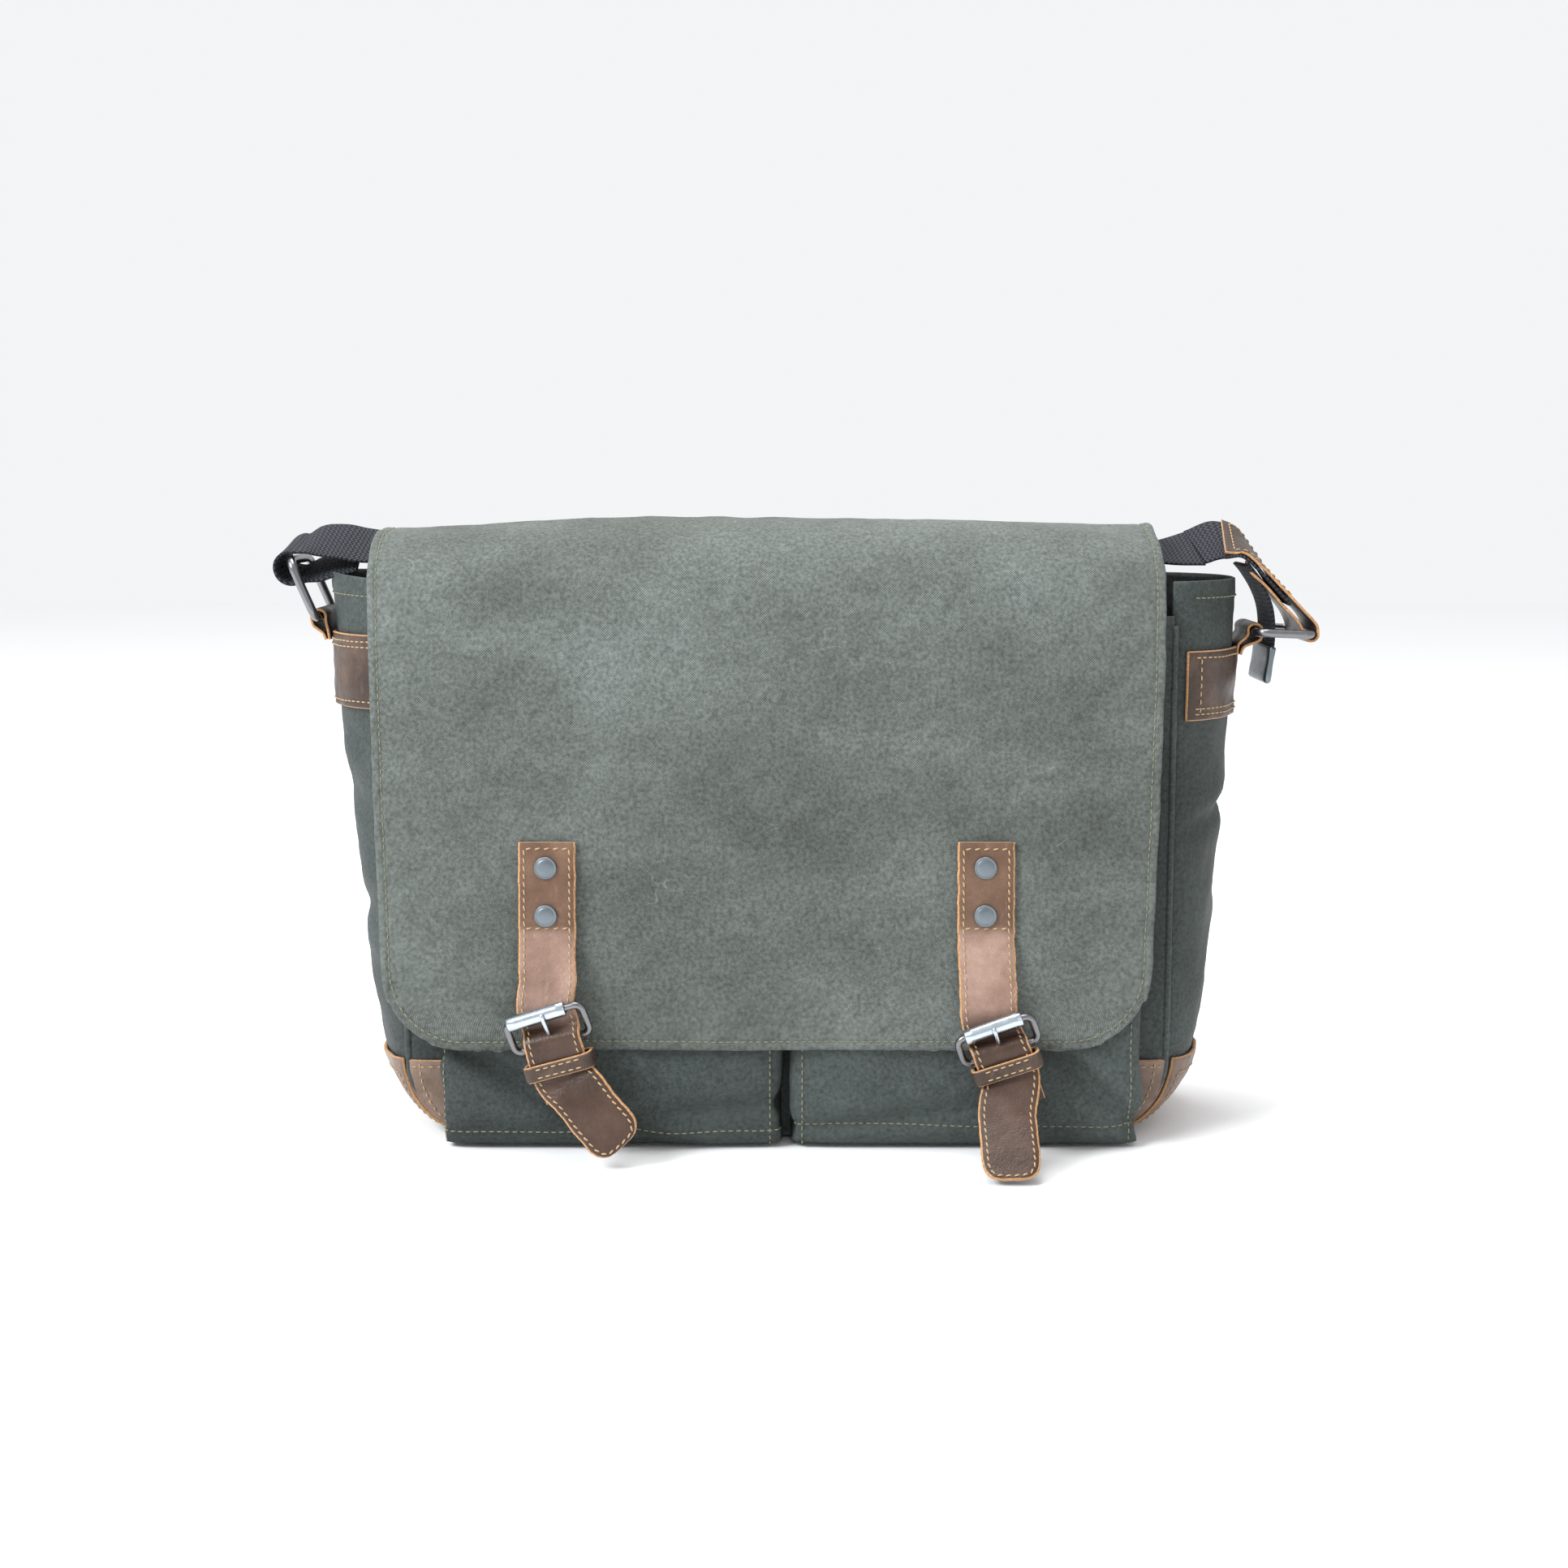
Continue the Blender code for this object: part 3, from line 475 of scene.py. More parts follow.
def strap(name, line, wide, widths, thick, materials, across=12, wobble=0.0, seed=1):
    """A strap with rounded edges, the last material on them.

    Returns the object, and its line, width and face directions, half widths and distances along it.
    """
    w, n = frames(line, wide)
    count = len(line)
    s = run_length(line)
    half = np.asarray(widths) / 2 * np.ones(count)
    r = thick * 0.28
    u = np.linspace(-1, 1, across + 1)
    section = [(k, 1.0, 0) for k in u]
    edge = [(1, 0.5, 1), (1, 0.0, 1), (1, -0.5, 1)]
    section += edge + [(k, -1.0, 0) for k in u[::-1]]
    section += [(-k, -level, 1) for k, level, _ in edge]
    verts, uv = [], []
    rough = ripple(s, 0 * s, seed, 0.012, 3) * wobble
    rough2 = ripple(s, 0 * s + 1, seed + 5, 0.012, 3) * wobble
    for k, level, is_edge in section:
        side = half + (rough if k < 0 else rough2) * abs(k)
        inset = 0.0 if is_edge else r * abs(k) ** 12
        offset = thick / 2 * level - (0.0 if is_edge else 0.12 * thick * level * abs(k) ** 8)
        verts.append(line + w * (k * (side - inset))[:, None] + n * (offset * np.ones(count))[:, None])
        uv.append(np.stack([s, k * half + (0.5 if level < 0 else 0)], axis=1))
    verts = np.stack(verts, axis=1)
    uv = np.stack(uv, axis=1)
    m = verts.shape[1]
    faces, index = [], []
    for i in range(count - 1):
        for j in range(m):
            q = (j + 1) % m
            faces.append((i * m + j, i * m + q, (i + 1) * m + q, (i + 1) * m + j))
            index.append(len(materials) - 1 if section[j][2] or section[q][2] else 0)
    for base in (0, (count - 1) * m):
        top = [base + k for k in range(across + 1)]
        low = [base + across + 4 + k for k in range(across + 1)][::-1]
        for k in range(across):
            faces.append((top[k], top[k + 1], low[k + 1], low[k]))
            index.append(len(materials) - 1)
        faces.append((top[-1], base + across + 1, base + across + 2, base + across + 3, low[-1]))
        faces.append((low[0], base + m - 3, base + m - 2, base + m - 1, top[0]))
        index += [len(materials) - 1] * 2
    ob = to_object(name, verts.reshape(-1, 3), faces, materials, uv.reshape(-1, 2), index)
    fix_normals(ob)
    return ob, (line, w, n, half, s)


def ring_faces(rings, sides, wrap=False, first=0):
    """Faces between rings of vertices that are numbered on from first, with capped ends unless wrap."""
    faces = []
    for k in range(rings if wrap else rings - 1):
        a, b = first + k * sides, first + (k + 1) % rings * sides
        for q in range(sides):
            w = (q + 1) % sides
            faces.append((a + q, a + w, b + w, b + q))
    if not wrap:
        faces.append(tuple(first + q for q in range(sides))[::-1])
        faces.append(tuple(first + (rings - 1) * sides + q for q in range(sides)))
    return faces


def ringed(name, verts, sides, material, wrap=False):
    """A solid from rings of sides vertices each."""
    ob = to_object(name, verts, ring_faces(len(verts) // sides, sides, wrap), [material])
    fix_normals(ob)
    return ob


def rounded_loop(half, low, high, r, steps):
    """Points round a rectangle, -half to half by low to high, whose corners have radius r."""
    corners = ((r - half, low + r), (half - r, low + r), (half - r, high - r), (r - half, high - r))
    return [
        (a + r * math.cos(g), b + r * math.sin(g))
        for k, (a, b) in enumerate(corners)
        for g in np.linspace(0, math.pi / 2, steps) + math.pi * (1 + k / 2)
    ]


def closed_tangents(line):
    return unit(np.roll(line, -1, 0) - np.roll(line, 1, 0))


def tube(name, line, radius, material, closed=False, sides=18):
    line = np.asarray(line, float)
    t = closed_tangents(line) if closed else unit(np.gradient(line, axis=0))
    ref = np.array([0.0, 0.0, 1.0]) if abs(t[:, 2]).max() < 0.9 else np.array([0.31, 0.8, 0.52])
    normals = []
    n = unit(np.cross(t[0], ref))
    for k in range(len(line)):
        n = unit(n - t[k] * n.dot(t[k]))
        normals.append(n)
    normals = np.array(normals)
    binormal = np.cross(t, normals)
    rad = np.asarray(radius) * np.ones(len(line))
    ang = np.linspace(0, 2 * np.pi, sides, endpoint=False)
    ring = normals[:, None] * np.cos(ang)[None, :, None] + binormal[:, None] * np.sin(ang)[None, :, None]
    if closed:
        # Take out the twist that has built up by the time the loop meets itself.
        drift = unit(n - t[0] * n.dot(t[0]))
        angle = math.atan2(drift.dot(binormal[0]), drift.dot(normals[0]))
        turn = -angle * np.arange(len(line)) / len(line)
        a = ang[None, :] + turn[:, None]
        ring = normals[:, None] * np.cos(a)[..., None] + binormal[:, None] * np.sin(a)[..., None]
    verts = (line[:, None] + ring * rad[:, None, None]).reshape(-1, 3)
    return ringed(name, verts, sides, material, wrap=closed)


# One stitch from end to end: place along it, thickness and height, as shares of its length and radius.
STITCH = ((-0.5, 0.35, -0.9), (-0.36, 0.9, 0.1), (0.0, 1.0, 0.45), (0.36, 0.9, 0.1), (0.5, 0.35, -0.9))
STITCH_SIDES = 6
STITCH_LIFT = 0.00012


def stitches(name, lines, material, pitch=0.0033, length=0.0023, radius=0.00034, slant=0.0):
    """Thread that shows between needle holes, along several lines of (point, face normal)."""
    verts, faces = [], []
    for pts, nrm in lines:
        pts, nrm = np.asarray(pts, float), np.asarray(nrm, float)
        s = run_length(pts)
        count = int(s[-1] / pitch)

        def read(c, rows):
            return np.array([np.interp(c, s, rows[:, k]) for k in range(3)])

        for c in (np.arange(count) + 0.5) * s[-1] / max(count, 1):
            here, n = read(c, pts), unit(read(c, nrm))
            t = read(c + 0.0004, pts) - read(c - 0.0004, pts)
            if np.linalg.norm(t) < 1e-9:
                continue
            t = unit(t)
            t = t * math.cos(slant) + np.cross(n, t) * math.sin(slant)
            side = np.cross(n, t)
            faces += ring_faces(len(STITCH), STITCH_SIDES, first=len(verts))
            for along, r, h in STITCH:
                o = here + t * (along * length) + n * (STITCH_LIFT + h * radius)
                for q in range(STITCH_SIDES):
                    g = 2 * math.pi * q / STITCH_SIDES
                    verts.append(o + side * (radius * r * math.cos(g)) + n * (radius * r * math.sin(g)))
    ob = to_object(name, verts, faces, [material])
    fix_normals(ob)
    return ob


def place(ob, body, slot, *nodes):
    """Hangs a piece on a body's empty and hides the CAD nodes it stands for. The slot is not used."""
    if nodes:
        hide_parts(*nodes)
    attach(ob, body)
    return ob


# ---------------------------------------------------------------- body of the bag

# The seams' half distance, the radius of their lower corners, and the top of a corner patch on the front.
CORNER_X, CORNER_R, CORNER_TOP = 0.1706, 0.034, 0.0362
# The left gusset leans out towards the top: heights, and how far it stands out there.
LEFT_LEAN = ((0.03, 0.14, 0.25), (-0.0040, 0.0, 0.0035))
# Seam and middle line of a gusset from its top to the base: seam x, seam z, middle x, middle z.
GUSSET_LINE = [
    (0.1700, 0.2510, 0.2045, 0.2540), (0.1700, 0.2290, 0.2042, 0.2270), (0.1700, 0.1900, 0.2035, 0.1900),
    (0.1700, 0.1550, 0.2015, 0.1550), (0.1700, 0.1150, 0.1985, 0.1150), (0.1700, 0.0700, 0.1955, 0.0700),
    (0.1700, 0.0420, 0.1920, 0.0400), (0.1690, 0.0300, 0.1880, 0.0280), (0.1650, 0.0180, 0.1800, 0.0160),
    (0.1570, 0.0090, 0.1690, 0.0070), (0.1470, 0.0050, 0.1540, 0.0034), (0.1375, 0.0042, 0.1385, 0.0024),
]


def gusset_grid(sign, seed, rows=130, cols=61):
    both = smooth_line([(mx, 0, mz, sx, 0, sz) for sx, sz, mx, mz in GUSSET_LINE], rows)
    mid, seam = both[:, :3].copy(), both[:, 3:].copy()
    if sign < 0:
        mid[:, 0] += np.interp(mid[:, 2], *LEFT_LEAN)
    else:
        mid[:, 2] -= 0.0030 * np.clip((mid[:, 2] - 0.235) / 0.02, 0, 1)
    u = np.linspace(-1, 1, cols)
    bow = np.clip(1 - u * u, 0, 1) ** 0.62
    p = seam[:, None] + (mid - seam)[:, None] * bow[None, :, None]
    p[..., 1] = u[None, :] * (HALF_DEPTH - 0.0018)
    p[..., 0] *= sign
    n = facing(grid_normals(p), (sign, 0, 0.0))
    z, y = p[..., 2], p[..., 1]
    calm = np.clip((0.252 - z) / 0.02, 0, 1) * np.clip(z / 0.05, 0, 1) * bow[None, :]
    push = ripple(y, z, seed, 0.075, 4) * 0.0016 * calm
    if sign > 0:
        crease = z - 0.150 - 0.25 * (y + 0.01)
        push += (-0.0034 * bumped(crease, 0, 0.0050) + 0.0016 * bumped(crease, 0.011, 0.007)) * bow[None, :]
        push += 0.0018 * bumped(z + 0.4 * y, 0.094, 0.016) * calm
    else:
        crease = z - 0.098 + 0.30 * y
        push += (-0.0022 * bumped(crease, 0, 0.0070) + 0.0012 * bumped(crease, -0.014, 0.009)) * bow[None, :]
        push += -0.0016 * bumped(z - 0.5 * y, 0.165, 0.010) * calm
    # The top edge is turned in twice, so it is a little proud down to its stitching.
    push += 0.0005 * np.clip((z - (z.max(0)[None, :] - 0.0085)) / 0.001, 0, 1)
    p = p + n * push[..., None]
    return p, facing(grid_normals(p), (sign, 0, 0))


def build_gussets():
    for side, sign, seed in (("left", -1, 11), ("right", 1, 23)):
        p, n = gusset_grid(sign, seed)
        slot = "gusset_" + side
        place(shell(slot + "_cloth", p, n, CANVAS_T, [SHADED_BODY_CANVAS]), "bag", slot, slot)
        row = int(np.searchsorted(arc(p, 0), 0.0072))
        place(stitches(slot + "_hem_stitches", [(p[row, 2:-2], n[row, 2:-2])], OLIVE_THREAD), "bag", slot)
        top, low = (0.227, 0.195) if side == "left" else (0.220, 0.190)
        leather_band("side_band_" + side, p, top, low, side)
        leather_corner("corner_patch_" + side, p, n)


def leather_band(name, p, top, low, side):
    z = p[:, p.shape[1] // 2, 2]
    rows = np.where((z <= top) & (z >= low))[0]
    # Every row is pulled to an even spacing between the band's own straight edges.
    q = resample_rows(p[rows[0]:rows[-1] + 1, 1:-1], np.linspace(top, low, 26))
    m = facing(grid_normals(q), (np.sign(q[..., 0].mean()), 0, 0))
    face = q + m * (0.0024 + 0.00018 * ripple(q[..., 1], q[..., 2], 5, 0.02))[..., None]
    place(shell(name + "_leather", face, m, 0.0020, [TRIM, EDGE]), "bag", name, name)
    levels = (2, 4, -3) if side == "left" else (2, -5, -3)
    lines = [(face[level, 1:-1], m[level, 1:-1]) for level in levels]
    lines += [(face[2:-2, col], m[2:-2, col]) for col in (2, -3)]
    place(stitches(name + "_stitches", lines, TAN_THREAD), "bag", name)


def resample_rows(q, levels):
    """The grid q with its rows at these heights."""
    out = np.zeros((len(levels), q.shape[1], 3))
    for j in range(q.shape[1]):
        z = q[::-1, j, 2]
        for k in range(3):
            out[:, j, k] = np.interp(levels, z, q[::-1, j, k])
        out[:, j, 2] = levels
    return out


def leather_corner(name, p, n):
    rows = np.where(p[:, p.shape[1] // 2, 2] < 0.0355)[0]
    q, m = p[rows[0]:rows[-1] - 4, 1:-1], n[rows[0]:rows[-1] - 4, 1:-1]
    face = q + m * (0.0023 + 0.00025 * ripple(q[..., 0], q[..., 1], 9, 0.02))[..., None]
    face[..., 2] = np.maximum(face[..., 2], 0.0004)
    place(shell(name + "_leather", face, m, 0.0018, [CORNER, EDGE]), "bag", name, name)
    lines = [(face[3, 2:-2], m[3, 2:-2]), (face[3:, 2], m[3:, 2]), (face[3:, -3], m[3:, -3])]
    place(stitches(name + "_stitches", lines, TAN_THREAD), "bag", name)
    # The patch is lapped over the seam onto the front.
    sign = math.copysign(1, q[0, 0, 0])
    turn = np.concatenate([[0], np.linspace(0.0, np.pi / 2, 26)])
    rim_x = CORNER_X - CORNER_R + (CORNER_R + 0.0012) * np.cos(turn)
    rim_z = 0.0016 + CORNER_R - CORNER_R * np.sin(turn)
    rim_z[0] = CORNER_TOP
    reach = np.linspace(0, 1, 14)[None, :]
    core_x = np.minimum(CORNER_X - 0.026, rim_x - 0.006)
    core_z = np.maximum(rim_z, 0.012) + 0.004 * np.sin(turn)
    x = rim_x[:, None] + (core_x - rim_x)[:, None] * reach
    z = rim_z[:, None] + (core_z - rim_z)[:, None] * reach
    y = -HALF_DEPTH - 0.0034 + 0.0022 * (1 - reach) ** 6 + 0 * x
    lap = np.stack([sign * x, y, z], axis=2)
    ln = facing(grid_normals(lap), (0, -1, 0))
    place(shell(name + "_lap", lap, ln, 0.0016, [CORNER, EDGE]), "bag", name)
    lines = [(lap[2, 1:-1], ln[2, 1:-1]), (lap[1:, 3], ln[1:, 3])]
    place(stitches(name + "_lap_stitches", lines, TAN_THREAD), "bag", name)


def panel_outline(half, top, r, bottom):
    t = np.linspace(0, np.pi / 2, 12)
    pts = [(-half, top), (-half, (top + bottom + r) / 2)]
    pts += [(-half + r - r * math.cos(a), bottom + r - r * math.sin(a)) for a in t]
    pts += [(half - r + r * math.cos(a), bottom + r - r * math.sin(a)) for a in t[::-1]]
    pts += [(half, (top + bottom + r) / 2), (half, top)]
    return pts


def build_panel(name, y, out, top, seed):
    """A body panel as a grid whose side edges follow the rounded bottom corners."""
    half, r, bottom = 0.170, CORNER_R, PANEL_LOW
    corner = bottom + r - r * np.sin(np.linspace(0.06, np.pi / 2, 16))
    zs = np.concatenate([np.linspace(top, bottom + r, 60), corner])
    dz = np.clip(bottom + r - zs, 0, r)
    w = half - r + np.sqrt(np.maximum(r * r - dz * dz, 0))
    u = np.linspace(-1, 1, 81)
    x = w[:, None] * u[None, :]
    z = zs[:, None] + 0 * x
    belly = np.clip(1 - u[None, :] ** 2, 0, 1) * bumped(z, 0.11, 0.09)
    sag = ripple(x, z, seed, 0.11, 4) * 0.0013 + out * 0.0018 * belly
    edge = np.minimum(np.clip((1 - np.abs(u[None, :])) / 0.06, 0, 1), np.clip((z - bottom) / 0.01, 0, 1))
    depth = y + sag * edge
    if out < 0:
        depth = np.clip(depth, y - 0.0004, y + 0.0007)
    p = np.stack([x, depth, z], axis=2)
    n = facing(grid_normals(p), (0, out, 0))
    place(shell(name + "_cloth", p, n, CANVAS_T, [SHADED_BODY_CANVAS]), "bag", name, name)
    row = int(np.searchsorted(arc(p, 0), 0.008))
    place(stitches(name + "_hem_stitches", [(p[row, 2:-2], n[row, 2:-2])], OLIVE_THREAD), "bag", name)


def build_seams():
    """The sewn ridges where the panels meet the gussets and base."""
    for name, sign, top in (("back", 1, 0.250), ("front", -1, 0.232)):
        y = sign * (HALF_DEPTH + 0.0002)
        pts = [(x, y, z) for x, z in panel_outline(CORNER_X, top, CORNER_R, PANEL_LOW)]
        line = smooth_line(pts, 260)
        radius = 0.0017 + 0.00012 * ripple(np.arange(260) * 0.004, np.zeros(260), 3, 0.02)
        place(tube(name + "_seam_binding", line, radius, SHADED_BODY_CANVAS, sides=12), "bag", name + "_panel")


def build_base():
    lo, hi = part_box("base_panel")
    x = np.linspace(lo.x, hi.x, 70)[:, None]
    y = np.linspace(lo.y, hi.y, 24)[None, :]
    z = 0.0002 + 0 * x * y + 0.0003 * (1 + ripple(x + 0 * y, y + 0 * x, 31, 0.08))
    p = np.stack([x + 0 * y, y + 0 * x, z], axis=2)
    n = facing(grid_normals(p), (0, 0, -1))
    place(shell("base_cloth", p, n, CANVAS_T, [SHADED_BODY_CANVAS]), "bag", "base_panel", "base_panel")


def build_lining():
    """A soft open-topped bag of cotton that hangs just inside the canvas."""
    lo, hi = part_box("lining")
    half_x, half_y = (hi.x - lo.x) / 2, (hi.y - lo.y) / 2
    ang = np.linspace(0, 2 * np.pi, 161)[:-1]
    low_turn = np.linspace(0.1, np.pi / 2, 14)
    level = np.concatenate([np.linspace(hi.z, 0.040, 50), 0.0075 + 0.0325 * np.cos(low_turn)])
    shrink = np.concatenate([np.ones(50), 1 - 0.16 * (1 - np.cos(low_turn))])
    power = 0.16
    cx = np.sign(np.cos(ang)) * np.abs(np.cos(ang)) ** power
    cy = np.sign(np.sin(ang)) * np.abs(np.sin(ang)) ** power
    x = half_x * shrink[:, None] * cx[None, :]
    y = (half_y - 0.0006) * (1 - 0.5 * (1 - shrink[:, None])) * cy[None, :]
    z = level[:, None] + 0 * x
    p = np.stack([x, y, z], axis=2)
    inward = unit(np.stack([-cx + 0 * x, -cy + 0 * x, 0 * x], axis=2))
    fold = (1 + ripple(ang[None, :] * 0.07 + 0 * z, z, 41, 0.05)) * 0.0010
    p = p + inward * fold[..., None]
    p = np.transpose(p, (1, 0, 2))
    n = -np.transpose(inward, (1, 0, 2))
    centre = p[:, -1].mean(0)
    extra = [p[:, -1] * (1 - t) + centre * t for t in (0.2, 0.45, 0.7, 0.9, 0.985)]
    p = np.concatenate([p, np.stack(extra, axis=1)], axis=1)
    down = np.zeros((len(ang), len(extra), 3))
    down[..., 2] = -1
    n = np.concatenate([n, down], axis=1)
    place(shell("lining_cloth", p, n, 0.0006, [INSIDE], wrap=True), "bag", "lining", "lining")


# Front face of a pocket from the base up: height and y.
POCKET_FACE = [
    (0.0022, -0.0652), (0.0070, -0.0684), (0.0160, -0.0698), (0.0470, -0.0698),
    (0.0750, -0.0684), (0.1000, -0.0664), (0.1400, -0.0626), (0.1700, -0.0596),
]
POCKET_COLS = 101


def pocket_surface(x0, x1, side):
    """A pouch: its front, both gathered sides and the underside, as one grid."""
    back = -HALF_DEPTH - 0.0012
    face = smooth_line([(y, z, 0) for z, y in POCKET_FACE[::-1]], 70)
    fy, fz = face[:, 0], face[:, 1]
    # The bottom edge rolls under to the seam.
    roll = np.linspace(0, 1, 14)[1:]
    low_y = fy[-1] + (back - 0.0008 - fy[-1]) * np.sin(roll * np.pi / 2)
    low_z = fz[-1] - 0.0022 * (1 - np.cos(roll * np.pi / 2))
    fy, fz = np.concatenate([fy, low_y]), np.concatenate([fz, low_z])
    t = np.linspace(0, np.pi, 111)
    power = 0.20
    ux = -np.sign(np.cos(t)) * np.abs(np.cos(t)) ** power
    uy = np.abs(np.sin(t)) ** power
    half, cx = (x1 - x0) / 2, (x0 + x1) / 2
    x = cx + half * ux[None, :] + 0 * fy[:, None]
    depth = (fy - back)[:, None] * uy[None, :]
    z = fz[:, None] + 0 * x
    p = np.stack([x, back + depth, z], axis=2)
    # Resample each row by length, so that the corners keep even cells.
    even = np.zeros((len(p), POCKET_COLS, 3))
    for i, row in enumerate(p):
        s = np.concatenate([[0], np.cumsum(np.linalg.norm(np.diff(row, axis=0), axis=1) + 1e-7)])
        for k in range(3):
            even[i, :, k] = np.interp(np.linspace(0, s[-1], POCKET_COLS), s, row[:, k])
    p = even
    n = facing(grid_normals(p), (0, -1, 0))
    xr, zr = p[..., 0] - cx, p[..., 2]
    live = np.clip((p[..., 1] - back) / -0.010, 0, 1) * np.clip((zr - 0.001) / 0.012, 0, 1)
    push = ripple(p[..., 0], zr, 50 + side, 0.060, 4) * 0.0009
    if side < 0:
        line = zr - 0.034 + 0.52 * (xr + 0.045)
        push += -0.0052 * bumped(line, 0, 0.0062)
        push += 0.0024 * bumped(line, 0.012, 0.008) + 0.0018 * bumped(line, -0.012, 0.008)
        line = zr - 0.015 - 0.10 * (xr - 0.02)
        push += -0.0034 * bumped(line, 0, 0.0050) * np.clip((xr + 0.03) / 0.03, 0, 1)
    else:
        line = zr - 0.020 - 0.16 * (xr - 0.010)
        push += -0.0036 * bumped(line, 0, 0.0052) * np.clip((0.045 - xr) / 0.03, 0, 1)
        line = zr - 0.030 + 0.9 * (xr - 0.055)
        push += -0.0040 * bumped(line, 0, 0.0062) + 0.0018 * bumped(line, 0.012, 0.008)
    push += -0.0012 * bumped(zr, 0.0105, 0.0022)
    under_flap = np.clip((0.062 - zr) / 0.02, 0, 1)
    push = push * live * (0.25 + 0.75 * under_flap)
    push = np.minimum(push, 0.0006 + 0.0012 * under_flap)
    p = p + n * push[..., None]
    return p, facing(grid_normals(p), (0, -1, 0))


def build_pockets():
    for side, name in ((-1, "left"), (1, "right")):
        slot = "front_pocket_" + name
        lo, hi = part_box(slot)
        p, n = pocket_surface(lo.x + (0.004 if side < 0 else 0.0), hi.x, side)
        place(shell(slot + "_cloth", p, n, 0.0010, [SHADED_BODY_CANVAS]), "bag", slot, slot)
        row, front = int(np.searchsorted(arc(p, 0), 0.008)), p.shape[1] // 2
        lines = [(p[row, 3:-3], n[row, 3:-3])]
        # A line of stitching down the edge that faces the other pocket, and one down the outer edge.
        inner_edge, outer_edge = (hi.x, lo.x) if side < 0 else (lo.x, hi.x)
        for edge, inset in ((inner_edge, 0.0052), (outer_edge, 0.0050)):
            target = edge - math.copysign(inset, edge - (lo.x + hi.x) / 2)
            line, face = [], []
            for i in range(row, p.shape[0] - 12):
                columns = np.where(p[i, :, 1] < p[i, front, 1] + 0.006)[0]
                j = columns[np.argmin(np.abs(p[i, columns, 0] - target))]
                line.append(p[i, j] + [target - p[i, j, 0], 0, 0])
                face.append(n[i, j])
            lines.append((np.array(line), np.array(face)))
        low = int(np.argmin(np.abs(p[:, front, 2] - 0.0105)))
        lines.append((p[low, 6:-6], n[low, 6:-6]))
        place(stitches(slot + "_stitches", lines, OLIVE_THREAD, pitch=0.0034), "bag", slot)


# ---------------------------------------------------------------- flap

# Outer face of the flap at its middle, from the sewn back edge to the bottom edge: y and z.
FLAP_LINE = [
    (0.0525, 0.2695), (0.0400, 0.2740), (0.0200, 0.2772), (0.0000, 0.2780), (-0.0200, 0.2755),
    (-0.0340, 0.2705), (-0.0435, 0.2630), (-0.0490, 0.2545), (-0.0520, 0.2450), (-0.0575, 0.2150),
    (-0.0618, 0.1850), (-0.0655, 0.1500), (-0.0682, 0.1180), (-0.0705, 0.0835), (-0.0724, 0.0600),
    (-0.0733, 0.0470),
]
FLAP_R = 0.036
FLAP_LOW = 0.047
FLAP_TAPER = 0.0072 / 0.21
FLAP_TOP_HALF = 0.1755
# Where the closure straps pull on the flap, and how far the threads sit off it.
FLAP_PULLS = (-0.105, 0.087)
THREAD_LIFT = 0.00005


def flap_half(z):
    """Half the flap's width, which grows with height up to that of the top."""
    return np.minimum(0.1683 + (z - FLAP_LOW) * FLAP_TAPER, FLAP_TOP_HALF)


